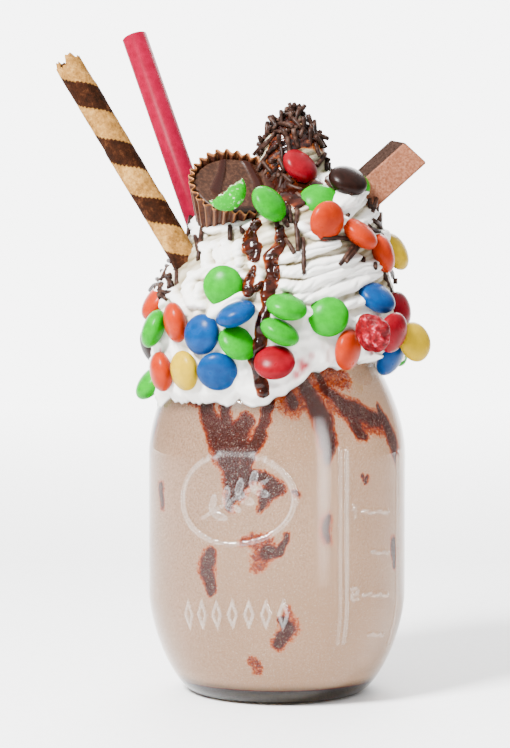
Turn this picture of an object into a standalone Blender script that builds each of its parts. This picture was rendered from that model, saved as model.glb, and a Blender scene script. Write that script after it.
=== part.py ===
"""A milkshake in a pint canning jar, heaped with whipped cream and sweets.

Metres, +Z up, origin at the middle of the jar's underside, the front towards -Y.
The jar is turned glass. The drink fills it to the mouth, the cream sits on the drink
and hangs over the neck, and every sweet, stick and straw is its own solid, let into
the cream with a small gap.
"""

import math

import bmesh
import bpy
import numpy as np
from mathutils import Matrix, Vector

MM = 0.001
GAP = 0.3 * MM
MERGE = 0.00001

# Jar, a round pint
ROUND_STEPS = 32
BASE_R = 26.5 * MM
BODY_R = 40.7 * MM
HEEL_TOP = 31 * MM
HEEL_POWER = 1.55
SHOULDER_START = 76 * MM
NECK_Z = 103 * MM
NECK_R = 32.0 * MM
SHOULDER_POWER = 1.75
RIM_Z = 125 * MM
THREAD_R = 34.0 * MM
MOUTH_R = 30.0 * MM
WALL = 3.0 * MM
FLOOR_Z = 5.0 * MM
PUSH_UP = 1.0 * MM
DRINK_TOP = 120 * MM

# Where the front view is taken from: a sweet seen at (x, z) on the plane through the
# jar's axis lies somewhere on the line from there to the eye.
EYE = Vector((0.0, -700 * MM, 136 * MM))

# Cream: height and radius of its outside, in millimetres, from the skirt to the peak
CREAM_STATIONS = (
    (91.0, 38.4), (96.0, 39.8), (104.0, 40.4), (112.0, 40.2), (120.0, 39.4), (127.0, 37.6),
    (134.0, 35.0), (141.0, 32.8), (147.0, 30.4), (152.0, 27.0), (156.0, 22.4), (159.0, 17.4),
    (162.0, 13.6), (166.0, 11.6), (171.0, 11.3), (175.0, 9.8), (179.0, 6.8), (182.0, 3.4),
)
PEAK_Z = 184.5 * MM
PEAK_SHIFT = 4.8 * MM
SHIFT_FROM, SHIFT_TO = 124 * MM, 160 * MM
CUP_SIDE = math.radians(-139)
CUP_SIDE_WIDTH = math.radians(42)
CUP_SINK = 6 * MM
SINK_FROM, SINK_TO = 132 * MM, 144 * MM
RIDGES = 12
SAMPLES_PER_RIDGE = 4
RIDGE_DEPTH = 1.3 * MM
RIDGE_RISE = math.radians(24)
WHIP_FROM = 118 * MM
LEVELS = 17

# Candy-coated chocolate button
BUTTON_R = 6.35 * MM
BUTTON_HALF = 3.4 * MM
BUTTON_SIDES = 8
BUTTON_RINGS = 4
PROUD = 0.8 * MM
DEEPEST = -3.0 * MM
FURTHEST_ASIDE = 1.3 * MM

# Drinking straw, from where it leaves the cream
STRAW_R = 4.1 * MM
STRAW_WALL = 0.45 * MM
STRAW_AT = Vector((-24.0, 12.0, 145.0)) * MM
STRAW_ALONG = Vector((-23.3, 16.0, 66.0)).normalized()
STRAW_UP, STRAW_DOWN = 70 * MM, 136 * MM

# Rolled wafer
ROLL_R = 4.7 * MM
ROLL_WALL = 1.5 * MM
ROLL_TOP = Vector((-65.0, -10.0, 197.5)) * MM
ROLL_ALONG = Vector((-0.512, 0.0, 0.859)).normalized()
ROLL_LENGTH = 118 * MM
ROLL_RAGGED = 1.5 * MM

# Chocolate-coated wafer finger
BAR_LENGTH = 46 * MM
BAR_HIGH = 9.6 * MM
BAR_WIDE, BAR_NARROW = 16 * MM, 12 * MM
BAR_END = Vector((42.2, 9.0, 171.6)) * MM
BAR_ALONG = Vector((0.735, 0.16, 0.659)).normalized()
BAR_ROLL = math.radians(17)
BAR_EDGE = 0.7 * MM

# Chocolate cup in a fluted paper case
CASE_RIM_R, CASE_FOOT_R = 14.3 * MM, 10.6 * MM
CASE_DEPTH = 16 * MM
CASE_PAPER = 0.35 * MM
FLUTES = 28
FLUTE_DEPTH = 0.85 * MM
CASE_RIM_AT = Vector((-12.6, -13.5, 160.6)) * MM
CASE_ALONG = Vector((0.142, -0.67, 0.729)).normalized()
CUP_BELOW_RIM = 2.0 * MM
CUP_CLEAR = 0.75 * MM

# Chocolate vermicelli
STRAND_R = 0.75 * MM
PEAK_STRANDS = 26

COLOURS = {
    "green": (0.10, 0.55, 0.08), "red": (0.70, 0.03, 0.07), "orange": (0.95, 0.20, 0.01),
    "yellow": (0.95, 0.75, 0.0), "blue": (0.0, 0.30, 0.75), "brown": (0.06, 0.02, 0.015),
}

# Buttons seen from the front, the furthest back first: colour, x and z in millimetres on
# the plane through the axis, the way its axis points on that plane in degrees from +X,
# its lean away from the eye in degrees, and its depth y in millimetres where it isn't
# simply on the cream.
FRONT_BUTTONS = (
    ("yellow", 37.4, 139.0, 27, 75, -2.0),
    ("green", 23.2, 160.6, 68, 57, -6.0),
    ("blue", 37.0, 106.4, 330, 72, -6.0),
    ("green", -40.0, 97.8, 140, 78, -5.0),
    ("brown", -39.4, 109.8, 200, 72, -5.0),
    ("orange", -38.4, 121.7, 146, 75, None),
    ("red", 38.4, 119.0, 8, 62, None),
    ("yellow", 42.6, 110.6, 20, 48, -6.0),
    ("green", -38.6, 115.8, 159, 84, None),
    ("orange", -36.8, 101.0, 188, 76, None),
    ("orange", -32.8, 116.1, 191, 78, None),
    ("yellow", -29.3, 101.4, 189, 59, None),
    ("blue", -24.4, 113.1, 170, 38, None),
    ("blue", -18.6, 101.8, 250, 24, None),
    ("green", -16.9, 127.6, 150, 20, None),
    ("green", -12.4, 110.6, 60, 48, None),
    ("blue", -13.4, 118.8, 112, 78, None),
    ("green", 0.9, 113.5, 63, 78, None),
    ("green", 2.8, 120.8, 77, 69, None),
    ("red", -1.0, 105.0, 95, 45, None),
    ("green", 16.2, 118.5, 100, 15, None),
    ("orange", 22.5, 108.0, 351, 65, None),
    ("red", 36.8, 114.4, 345, 58, None),
    ("red", 31.2, 114.0, 200, 42, None),
    ("blue", 31.6, 123.6, 58, 64, None),
    ("orange", 33.4, 138.6, 16, 82, None),
    ("orange", 25.6, 144.8, 52, 78, None),
    ("green", 14.6, 154.8, 80, 40, None),
    ("orange", 16.2, 149.3, 340, 42, None),
    ("brown", 21.6, 160.7, 68, 57, -16.0),
    ("green", -2.5, 154.1, 42, 62, -29.5),
    ("red", 7.3, 165.8, 45, 59, None),
)
# The broken half button that lies in the chocolate cup
HALF_BUTTON = ("green", -15.9, 158.2, 150, 22, -26.4)
HALF_CUT_TURN = math.radians(125)

# Buttons out of sight at the back: colour, azimuth in degrees from +X, height in
# millimetres, and lean off the radius in degrees
BACK_BUTTONS = (
    ("green", 22, 108, -20), ("blue", 35, 119, 15), ("yellow", 45, 103, 30), ("red", 58, 118, -25),
    ("green", 70, 104, 10), ("orange", 82, 118, 35), ("blue", 94, 103, -15), ("yellow", 106, 118, 20),
    ("red", 119, 103, -30), ("green", 131, 118, 15), ("blue", 143, 104, 25), ("brown", 155, 117, -20),
    ("orange", 62, 139, 20), ("green", 116, 138, -25),
)

# Thick sauce running down the front, as x and z in millimetres on the plane through the
# axis, and its half width
DRIPS = (
    (((-1.0, 150.0), (-2.6, 143.5), (-5.0, 137.0), (-3.0, 131.0), (-4.6, 122.0), (-6.0, 113.0),
      (-7.6, 108.0), (-6.6, 101.0), (-4.4, 92.5)), 1.7),
    (((-8.4, 149.5), (-9.4, 145.0), (-9.0, 141.5)), 2.2),
)

# Strands that show away from the peak: x, z, direction in degrees and length, all on the
# plane through the axis
FRONT_STRANDS = (
    (-22.4, 148.0, 82, 10), (-15.2, 149.5, 88, 8), (-9.6, 150.4, 70, 6), (5.0, 149.0, 84, 9),
    (8.4, 147.6, 98, 10), (10.2, 141.0, 86, 8), (3.0, 147.2, 118, 7), (22.0, 151.2, 28, 9),
    (21.4, 145.6, 176, 12), (26.2, 140.8, 56, 12), (30.2, 153.0, 84, 9), (32.6, 150.0, 92, 8),
    (35.0, 133.0, 106, 13), (29.2, 137.6, 130, 4), (32.0, 136.2, 96, 4), (-31.4, 133.4, 86, 7),
    (-33.8, 136.6, 50, 9), (-35.2, 130.4, 104, 7), (-34.4, 127.2, 140, 6), (29.0, 147.4, 30, 5),
)
BACK_STRANDS = 5


def material(name, colour, roughness=0.5, metallic=0.0):
    """A Principled material in one colour."""
    made = bpy.data.materials.new(name)
    made.use_nodes = True
    shader = made.node_tree.nodes["Principled BSDF"]
    shader.inputs["Base Color"].default_value = (*colour, 1)
    shader.inputs["Roughness"].default_value = roughness
    shader.inputs["Metallic"].default_value = metallic
    made.diffuse_color = (*colour, 1)
    return made


def collection(name, parent=None):
    made = bpy.data.collections.new(name)
    (parent or bpy.context.scene.collection).children.link(made)
    return made


def mesh_object(name, points, faces, folder, paint=None, matrix=None):
    """An object in that collection from points and faces, or edges if a face has two ends."""
    mesh = bpy.data.meshes.new(name)
    flat = bool(faces) and len(faces[0]) == 2
    mesh.from_pydata([tuple(p) for p in points], faces if flat else [], [] if flat else faces)
    mesh.update()
    made = bpy.data.objects.new(name, mesh)
    folder.objects.link(made)
    if paint:
        mesh.materials.append(paint)
    if matrix is not None:
        made.matrix_world = matrix
    return made


def turned(name, profile, folder, paint=None, matrix=None, steps=ROUND_STEPS, ring=False):
    """A profile of (radius, height) turned about Z. A ring's profile is a closed loop."""
    points = [(r, 0.0, z) for r, z in profile]
    edges = [(i, i + 1) for i in range(len(points) - 1)]
    if ring:
        edges.append((len(points) - 1, 0))
    made = mesh_object(name, points, edges, folder, paint, matrix)
    screw = made.modifiers.new("turn", "SCREW")
    screw.steps = screw.render_steps = steps
    screw.use_merge_vertices = True
    screw.merge_threshold = MERGE
    screw.use_smooth_shade = False
    return made


def evaluated_mesh(source):
    """The mesh of an object with its modifiers, as a new mesh."""
    bpy.context.view_layer.update()
    graph = bpy.context.evaluated_depsgraph_get()
    return bpy.data.meshes.new_from_object(source.evaluated_get(graph))


def apply_modifiers(target):
    done = evaluated_mesh(target)
    target.modifiers.clear()
    target.data = done


def boolean(target, cutters, operation, solver="EXACT"):
    """Joins to, or cuts from, the target all of a collection's objects, and applies it."""
    step = target.modifiers.new(operation.lower(), "BOOLEAN")
    step.operation = operation
    step.operand_type = "COLLECTION"
    step.collection = cutters
    step.solver = solver
    apply_modifiers(target)


def drop_scraps(target):
    """Keeps only the largest of the bodies that a cut has left."""
    shape = bmesh.new()
    shape.from_mesh(target.data)
    unseen, bodies = set(shape.verts), []
    while unseen:
        front = [unseen.pop()]
        body = set(front)
        while front:
            for edge in front.pop().link_edges:
                for end in edge.verts:
                    if end not in body:
                        body.add(end)
                        unseen.discard(end)
                        front.append(end)
        bodies.append(body)
    largest = max(bodies, key=len)
    bmesh.ops.delete(shape, geom=[v for v in shape.verts if v not in largest], context="VERTS")
    shape.to_mesh(target.data)
    shape.free()


def facing(along, at):
    """The placing that turns +Z to the direction along and moves the origin to at."""
    return Matrix.Translation(at) @ along.to_track_quat("Z", "Y").to_matrix().to_4x4()


def outer_radius(z):
    """The jar's outside at a height: superellipse heel, straight body, curved shoulder."""
    if z < HEEL_TOP:
        left = 1 - z / HEEL_TOP
        return BASE_R + (BODY_R - BASE_R) * (1 - left**HEEL_POWER) ** (1 / HEEL_POWER)
    if z <= SHOULDER_START:
        return BODY_R
    share = min(1.0, (z - SHOULDER_START) / (NECK_Z - SHOULDER_START))
    return BODY_R - (BODY_R - NECK_R) * share**SHOULDER_POWER


def body_heights(low, high):
    """Heights that follow the heel's and the shoulder's curves."""
    wanted = (0.8, 3, 8, 16, 31, 76, 86, 95)
    return [low] + [z * MM for z in wanted if low < z * MM < high] + [high]


def outside_profile(grow=0.0):
    """The jar's outside from the rim down to the bearing ring, let out by grow."""
    finish = [
        (MOUTH_R + 1.6 * MM, RIM_Z), (MOUTH_R + 2.4 * MM, RIM_Z - 0.8 * MM),
        (MOUTH_R + 2.4 * MM, RIM_Z - 3 * MM), (THREAD_R, RIM_Z - 5 * MM),
        (THREAD_R, RIM_Z - 12 * MM), (NECK_R + 0.6 * MM, RIM_Z - 14 * MM), (NECK_R, NECK_Z),
    ]
    body = [(outer_radius(z), z) for z in reversed(body_heights(0.0, NECK_Z))]
    return [(r + grow, z) for r, z in finish + body[1:]]


def inside_profile(shrink=0.0):
    """The jar's inside from the floor's middle up to the mouth, taken in by shrink."""
    heights = [z for z in body_heights(9 * MM, NECK_Z)]
    wall = [(outer_radius(z) - WALL - shrink, z) for z in heights]
    corner = outer_radius(9 * MM) - WALL - shrink
    floor = [(0.0, FLOOR_Z + shrink), (corner - 5 * MM, FLOOR_Z + shrink)]
    return floor + wall[:-1] + [(MOUTH_R - 1 * MM - shrink, NECK_Z), (MOUTH_R - shrink, NECK_Z + 8 * MM)]


def make_jar(folder):
    inside = inside_profile() + [(MOUTH_R, RIM_Z - 0.8 * MM), (MOUTH_R + 0.7 * MM, RIM_Z)]
    foot = [(BASE_R - 3.2 * MM, 0.0), (BASE_R - 4.6 * MM, PUSH_UP), (0.0, PUSH_UP)]
    profile = inside + outside_profile() + foot
    return turned("jar", profile, folder, material("clear_glass", (0.85, 0.9, 0.9), 0.05))


def make_drink(folder, cutters):
    profile = inside_profile(GAP) + [(MOUTH_R - GAP, DRINK_TOP), (0.0, DRINK_TOP)]
    drink = turned("milkshake", profile, folder, material("milkshake", (0.60, 0.43, 0.32), 0.4))
    boolean(drink, cutters, "DIFFERENCE")
    drop_scraps(drink)
    return drink


def straw_solid(name, folder, grow=0.0, paint=None):
    """The straw's tube, or with grow the solid rod that makes room for it."""
    radius = STRAW_R + grow
    low, high = -STRAW_DOWN - grow, STRAW_UP + grow
    matrix = facing(STRAW_ALONG, STRAW_AT)
    if grow:
        return turned(name, [(0, high), (radius, high), (radius, low), (0, low)], folder, None, matrix, 12)
    inner = STRAW_R - STRAW_WALL
    profile = [(inner, high), (radius, high), (radius, low), (inner, low)]
    return turned(name, profile, folder, paint, matrix, 12, ring=True)


def roll_solid(name, folder, grow=0.0, paint=None):
    """The rolled wafer with its snapped upper end, or with grow the rod that makes room."""
    radius = ROLL_R + grow
    low = -ROLL_LENGTH - grow
    matrix = facing(ROLL_ALONG, ROLL_TOP)
    if grow:
        profile = [(0, 2 * ROLL_RAGGED), (radius, 2 * ROLL_RAGGED), (radius, low), (0, low)]
        return turned(name, profile, folder, None, matrix, 16)
    inner = ROLL_R - ROLL_WALL
    made = turned(name, [(inner, 0), (radius, 0), (radius, low), (inner, low)], folder, paint, matrix, 16, True)
    apply_modifiers(made)
    for point in made.data.vertices:
        if point.co.z > -MM:
            turn = math.atan2(point.co.y, point.co.x)
            point.co.z += ROLL_RAGGED * (math.sin(2 * turn + 0.6) + 0.5 * math.sin(5 * turn))
    return made


def bar_matrix():
    """The finger's placing: X along it, Y to its flat back, Z to its upper side."""
    to_eye = Vector((0, -1, 0))
    along = BAR_ALONG
    front = (to_eye - to_eye.dot(along) * along).normalized()
    over = front.cross(along)
    top = over * math.cos(BAR_ROLL) + front * math.sin(BAR_ROLL)
    side = front * math.cos(BAR_ROLL) - over * math.sin(BAR_ROLL)
    turn = Matrix((along, -side, top)).transposed().to_4x4()
    return Matrix.Translation(BAR_END) @ turn


def bar_solid(name, folder, grow=0.0, paint=None):
    """The wafer finger, narrower on its upper side, ending at its local origin."""
    bpy.ops.mesh.primitive_cube_add(size=1)
    made = bpy.context.active_object
    made.name = made.data.name = name
    for user in list(made.users_collection):
        user.objects.unlink(made)
    folder.objects.link(made)
    for point in made.data.vertices:
        narrow = point.co.z > 0
        slope = 1.2 * MM if narrow else 0.0
        width = BAR_NARROW if narrow else BAR_WIDE
        end = -slope if point.co.x > 0 else -BAR_LENGTH + slope
        point.co = Vector((
            end + math.copysign(grow, point.co.x),
            point.co.y * width + math.copysign(grow, point.co.y),
            point.co.z * BAR_HIGH + math.copysign(grow, point.co.z),
        ))
    made.matrix_world = bar_matrix()
    if not grow:
        edge = made.modifiers.new("edge", "BEVEL")
        edge.width = BAR_EDGE
        edge.segments = 2
        made.data.materials.append(paint)
    return made


def case_solid(folder):
    """The fluted paper case: an open cup whose wall runs in and out, given its thickness."""
    columns = 2 * FLUTES
    rows = ((CASE_FOOT_R, -CASE_DEPTH, 0.35), (CASE_RIM_R, 0.0, 1.0))
    points, faces = [(0.0, 0.0, -CASE_DEPTH)], []
    for radius, height, share in rows:
        for i in range(columns):
            turn = 2 * math.pi * i / columns
            wave = radius + share * FLUTE_DEPTH * (1 if i % 2 else -1)
            points.append((wave * math.cos(turn), wave * math.sin(turn), height))
    for i in range(columns):
        j = (i + 1) % columns
        faces.append((0, 1 + j, 1 + i))
        faces.append((1 + i, 1 + j, 1 + columns + j, 1 + columns + i))
    made = mesh_object("paper_case", points, faces, folder, material("brown_paper", (0.14, 0.05, 0.03), 0.6),
                       facing(CASE_ALONG, CASE_RIM_AT))
    wall = made.modifiers.new("paper", "SOLIDIFY")
    wall.thickness = CASE_PAPER
    wall.offset = -1
    wall.use_even_offset = True
    return made


def cup_profile(grow=0.0, to_rim=False):
    """The chocolate's turned outline inside the case, or with grow the room for the case."""
    clear = -(FLUTE_DEPTH + CASE_PAPER + CUP_CLEAR) if not grow else FLUTE_DEPTH + grow
    top = 2 * MM if to_rim else -CUP_BELOW_RIM
    foot = -CASE_DEPTH + (CASE_PAPER + GAP if not grow else -grow)
    slope = (CASE_RIM_R - CASE_FOOT_R) / CASE_DEPTH
    upper = CASE_RIM_R + slope * top + clear
    lower = CASE_FOOT_R + clear
    return [(0, top), (upper, top), (lower, foot), (0, foot)]


def oblate(name, folder, grow=0.0, paint=None):
    """A lens-shaped button about its own Z axis."""
    made = bpy.data.meshes.new(name)
    shape = bmesh.new()
    bmesh.ops.create_uvsphere(shape, u_segments=BUTTON_SIDES, v_segments=BUTTON_RINGS, radius=1.0)
    flat = Matrix.Diagonal((BUTTON_R + grow, BUTTON_R + grow, BUTTON_HALF + grow, 1.0))
    bmesh.ops.transform(shape, matrix=flat, verts=shape.verts)
    shape.to_mesh(made)
    shape.free()
    placed = bpy.data.objects.new(name, made)
    folder.objects.link(placed)
    if paint:
        made.materials.append(paint)
    return placed


def cream_radius(z):
    """The cream's outside at a height, without its ridges: a smooth line through the stations."""
    heights = np.array([s[0] for s in CREAM_STATIONS] + [PEAK_Z / MM]) * MM
    radii = np.array([s[1] for s in CREAM_STATIONS] + [0.0]) * MM
    return float(np.interp(z, heights, radii))


def eased(value, low, high):
    """0 below low, 1 above high, and a smooth step between."""
    share = min(1.0, max(0.0, (value - low) / (high - low)))
    return share * share * (3 - 2 * share)


def cream_shift(z):
    """How far right of the jar's axis the middle of the cream is at a height."""
    return PEAK_SHIFT * eased(z, SHIFT_FROM, SHIFT_TO)


def cream_reach(turn, z):
    """The cream's radius at a turn and height: it sinks where the chocolate cup lies on it."""
    off = abs((turn - CUP_SIDE + math.pi) % (2 * math.pi) - math.pi)
    sink = CUP_SINK * eased(-off, -CUP_SIDE_WIDTH, -CUP_SIDE_WIDTH / 3)
    fade = eased(z, SINK_FROM, SINK_TO) * (1 - eased(z, 158 * MM, 168 * MM))
    return cream_radius(z + sink * fade)


def skirt_height(turn):
    """The skirt's lower edge: low at the left and the front, higher at the right."""
    right = 0.5 + 0.5 * math.cos(turn + 0.35)
    wave = 0.8 * math.sin(5 * turn + 0.8) + 0.6 * math.sin(9 * turn)
    return (92.0 + 11.5 * right**4 + wave) * MM


def cream_point(turn, z, ridge=0.0):
    """A point of the cream's outside, pushed out by the ridge."""
    radius = max(0.0, cream_reach(turn, z) + ridge)
    return Vector((cream_shift(z) + radius * math.cos(turn), radius * math.sin(turn), z))


def cream_body(folder):
    """The heap of cream as one closed surface. Its columns climb with the swirl, so that each
    ridge of the swirl follows a column."""
    columns = RIDGES * SAMPLES_PER_RIDGE
    levels = [skirt_height(0.0)] + list(np.linspace(106 * MM, 184 * MM, LEVELS))
    points, faces, twist, last = [], [], 0.0, levels[0]
    for row, level in enumerate(levels):
        whipped = min(1.0, max(0.0, (level - WHIP_FROM) / (8 * MM)))
        radius = max(cream_radius(level), 11 * MM)
        twist += whipped * (level - last) / (radius * math.tan(RIDGE_RISE))
        last = level
        depth = RIDGE_DEPTH * whipped * min(1.0, cream_radius(level) / (18 * MM))
        for i in range(columns):
            turn = 2 * math.pi * i / columns + twist
            ridge = depth * math.cos(2 * math.pi * i / SAMPLES_PER_RIDGE)
            height = skirt_height(turn) if row == 0 else level
            points.append(cream_point(turn, height, ridge))
    for row in range(len(levels) - 1):
        for i in range(columns):
            j = (i + 1) % columns
            low, high = row * columns, (row + 1) * columns
            faces.append((low + i, low + j, high + j, high + i))
    top, foot = len(points), len(points) + 1
    points.append(Vector((PEAK_SHIFT, 0, PEAK_Z)))
    points.append(Vector((0, 0, 96 * MM)))
    for i in range(columns):
        j = (i + 1) % columns
        faces.append(((len(levels) - 1) * columns + i, (len(levels) - 1) * columns + j, top))
        faces.append((j, i, foot))
    return mesh_object("whipped_cream", points, faces, folder, material("cream", (0.9, 0.89, 0.85), 0.5))


def depth_in_cream(point):
    """How far inside the cream's outside a point is, measured level."""
    across = point.x - cream_shift(point.z)
    return cream_reach(math.atan2(point.y, across), point.z) - math.hypot(across, point.y)


def on_sight_line(x, z, depth):
    """The point at that depth y that is seen at (x, z) of the plane through the axis."""
    aim = Vector((x * MM, 0.0, z * MM)) - EYE
    return EYE + aim * ((depth - EYE.y) / aim.y)


def seen_on_cream(x, z, proud):
    """The first point of the cream, let out by proud, that the eye meets at (x, z)."""
    for step in range(1200):
        point = on_sight_line(x, z, -60 * MM + step * 0.05 * MM)
        if depth_in_cream(point) >= -proud:
            return point
    return on_sight_line(x, z, 0.0)


def leaning(way, lean):
    """The direction that leans by lean from the eye's towards way, in degrees on the front."""
    way, lean = math.radians(way), math.radians(lean)
    return Vector((math.sin(lean) * math.cos(way), -math.cos(lean), math.sin(lean) * math.sin(way)))


def button_cloud(matrix):
    """Points all over a button's true surface."""
    turns, rises = np.meshgrid(np.linspace(0, 2 * np.pi, 24, False), np.linspace(-1.5, 1.5, 13))
    flat = np.stack([BUTTON_R * np.cos(rises) * np.cos(turns), BUTTON_R * np.cos(rises) * np.sin(turns),
                     BUTTON_HALF * np.sin(rises)], -1).reshape(-1, 3)
    turn = np.array(matrix)
    return flat @ turn[:3, :3].T + turn[:3, 3]


def crosses(matrix, others):
    """Whether a button there comes within the gap of one that is already down."""
    cloud = button_cloud(matrix)
    reach = np.array([BUTTON_R + GAP, BUTTON_R + GAP, BUTTON_HALF + GAP])
    for other in others:
        if (other.translation - matrix.translation).length > 2 * BUTTON_R + GAP:
            continue
        for source, points in ((other, cloud), (matrix, button_cloud(other))):
            local = np.array(source.inverted())
            inside = (points @ local[:3, :3].T + local[:3, 3]) / reach
            if ((inside**2).sum(1) < 1).any():
                return True
    return False


def in_glass(matrix):
    """Whether a button there comes within the gap of the jar."""
    for x, y, z in button_cloud(matrix):
        wide = THREAD_R if z > NECK_Z else outer_radius(max(z, 0.0))
        if z < RIM_Z + GAP and math.hypot(x, y) < wide + 1.5 * GAP:
            return True
    return False


def loosen(places, aways):
    """Eases crossing buttons apart in small steps: the later one comes out along its line of
    sight, the earlier one goes in, and both move a little aside."""
    starts = [m.translation.copy() for m in places]
    for _ in range(90):
        moved = False
        for j in range(len(places)):
            for i in range(j):
                if not crosses(places[j], [places[i]]):
                    continue
                moved = True
                between = places[j].translation - places[i].translation
                for k, sign in ((i, -1), (j, 1)):
                    away = aways[k]
                    aside = (between - between.dot(away) * away) * sign
                    spot = places[k].translation
                    step = aside.normalized() * 0.12 * MM if aside.length > 0.1 * MM else Vector()
                    drift = spot + step - starts[k]
                    drift -= drift.dot(away) * away
                    if drift.length > FURTHEST_ASIDE:
                        step = Vector()
                    if sign > 0 or (depth_in_cream(spot) < -DEEPEST and not in_glass(places[k])):
                        step += away * sign * 0.15 * MM
                    places[k].translation = spot + step
        if not moved:
            break
    return places


def settle(matrix, away, others):
    """Moves a button out in small steps until it is clear of the others."""
    for _ in range(80):
        if not crosses(matrix, others) and not in_glass(matrix):
            break
        matrix.translation = matrix.translation + away * 0.25 * MM
    return matrix


def button_places():
    """(colour, placing) of every whole button, each clear of the others."""
    colours, places, aways = [], [], []
    for colour, x, z, way, lean, depth in FRONT_BUTTONS:
        at = seen_on_cream(x, z, PROUD) if depth is None else on_sight_line(x, z, depth * MM)
        colours.append(colour)
        places.append(facing(leaning(way, lean), at))
        aways.append((EYE - at).normalized())
    for colour, azimuth, height, lean in BACK_BUTTONS:
        turn = math.radians(azimuth)
        out = Vector((math.cos(turn), math.sin(turn), 0.0))
        tilt = Matrix.Rotation(math.radians(lean), 3, (-out.y, out.x, 0.25))
        colours.append(colour)
        places.append(facing(tilt @ out, cream_point(turn, height * MM, PROUD)))
        aways.append(out)
    places = loosen(places, aways)
    done = []
    for matrix, away in zip(places, aways):
        done.append(settle(matrix, away, done))
    return list(zip(colours, done))


def half_button(name, folder, paint, grow=0.0):
    """A button snapped across, its broken face up and to the left."""
    colour, x, z, way, lean, depth = HALF_BUTTON
    made = oblate(name, folder, grow, paint)
    made.matrix_world = facing(leaning(way, lean), on_sight_line(x, z, depth * MM))
    if grow:
        return made
    snap = made.matrix_world.to_3x3().inverted() @ Vector((math.cos(HALF_CUT_TURN), 0, math.sin(HALF_CUT_TURN)))
    shape = bmesh.new()
    shape.from_mesh(made.data)
    everything = shape.verts[:] + shape.edges[:] + shape.faces[:]
    cut = bmesh.ops.bisect_plane(shape, geom=everything, plane_co=snap * 0.6 * MM, plane_no=snap, clear_outer=True)
    edges = [e for e in cut["geom_cut"] if isinstance(e, bmesh.types.BMEdge)]
    bmesh.ops.edgeloop_fill(shape, edges=edges)
    bmesh.ops.recalc_face_normals(shape, faces=shape.faces)
    shape.to_mesh(made.data)
    shape.free()
    return made


def strand(name, at, along, length, folder):
    """One strand of vermicelli: a square stick with its middle at a point."""
    shape = bmesh.new()
    bmesh.ops.create_cone(shape, cap_ends=True, segments=4, radius1=STRAND_R, radius2=STRAND_R, depth=length)
    mesh = bpy.data.meshes.new(name)
    shape.to_mesh(mesh)
    shape.free()
    made = bpy.data.objects.new(name, mesh)
    folder.objects.link(made)
    made.matrix_world = facing(along, at)


def strands(folder):
    """Vermicelli thick on the peak, some down the front, and a few at the back."""
    draw = np.random.default_rng(7)
    for i in range(PEAK_STRANDS):
        turn = 2 * math.pi * (i * 0.618 % 1)
        height = (161.5 + 23 * (i + 0.5) / PEAK_STRANDS) * MM
        out = Vector((math.cos(turn), math.sin(turn), 0.3))
        swing = Vector(draw.normal(0, 0.6, 3))
        along = (swing - swing.dot(out) * out / out.length_squared + Vector((0, 0, 0.5))).normalized()
        strand("peak_strand", cream_point(turn, height, 0.35 * MM), along, draw.uniform(5, 8) * MM, folder)
    for x, z, way, length in FRONT_STRANDS:
        at = seen_on_cream(x, z, 0.9 * MM)
        along = leaning(way, 90)
        out = Vector((at.x, at.y, 0)).normalized()
        along = (along - along.dot(out) * out).normalized()
        strand("front_strand", at, along, length * MM, folder)
    for i in range(BACK_STRANDS):
        turn = math.pi * (0.08 + 0.84 * (i * 0.618 % 1))
        out = Vector((math.cos(turn), math.sin(turn), 0))
        swing = Vector(draw.normal(0, 1, 3))
        along = (swing - swing.dot(out) * out).normalized()
        height = (128 + 24 * draw.random()) * MM
        strand("back_strand", cream_point(turn, height, 0.9 * MM), along, draw.uniform(6, 10) * MM, folder)


def drip(name, route, half_width, folder):
    """A run of thick sauce: a tube that follows the cream down, half sunk in it."""
    curve = bpy.data.curves.new(name, "CURVE")
    curve.dimensions = "3D"
    curve.bevel_depth = half_width * MM
    curve.bevel_resolution = 0
    curve.use_fill_caps = True
    line = curve.splines.new("POLY")
    line.points.add(len(route) - 1)
    for slot, (x, z) in zip(line.points, route):
        slot.co = (*seen_on_cream(x, z, 0.2 * MM), 1.0)
    guide = bpy.data.objects.new(name, curve)
    folder.objects.link(guide)
    mesh = evaluated_mesh(guide)
    bpy.data.objects.remove(guide)
    shape = bmesh.new()
    shape.from_mesh(mesh)
    bmesh.ops.remove_doubles(shape, verts=shape.verts, dist=MERGE)
    bmesh.ops.recalc_face_normals(shape, faces=shape.faces)
    shape.to_mesh(mesh)
    shape.free()
    folder.objects.link(bpy.data.objects.new(name, mesh))


def jar_room(folder):
    """All that the jar and the drink take up, let out by the gap, for cutting the cream."""
    over = RIM_Z + GAP
    step = [(0.0, DRINK_TOP + GAP), (MOUTH_R - GAP, DRINK_TOP + GAP), (MOUTH_R - GAP, over)]
    outside = [(r, z + (GAP if z > NECK_Z else 0.0)) for r, z in outside_profile(GAP)]
    return turned("jar_room", step + outside + [(0.0, 0.0)], folder)


def hide(folder):
    """Marks a collection's objects as helpers."""
    folder.hide_render = True
    for helper in folder.objects:
        helper.hide_render = True
        helper.display_type = "WIRE"


def empty_out(folder):
    for helper in list(folder.objects):
        bpy.data.objects.remove(helper)


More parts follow.
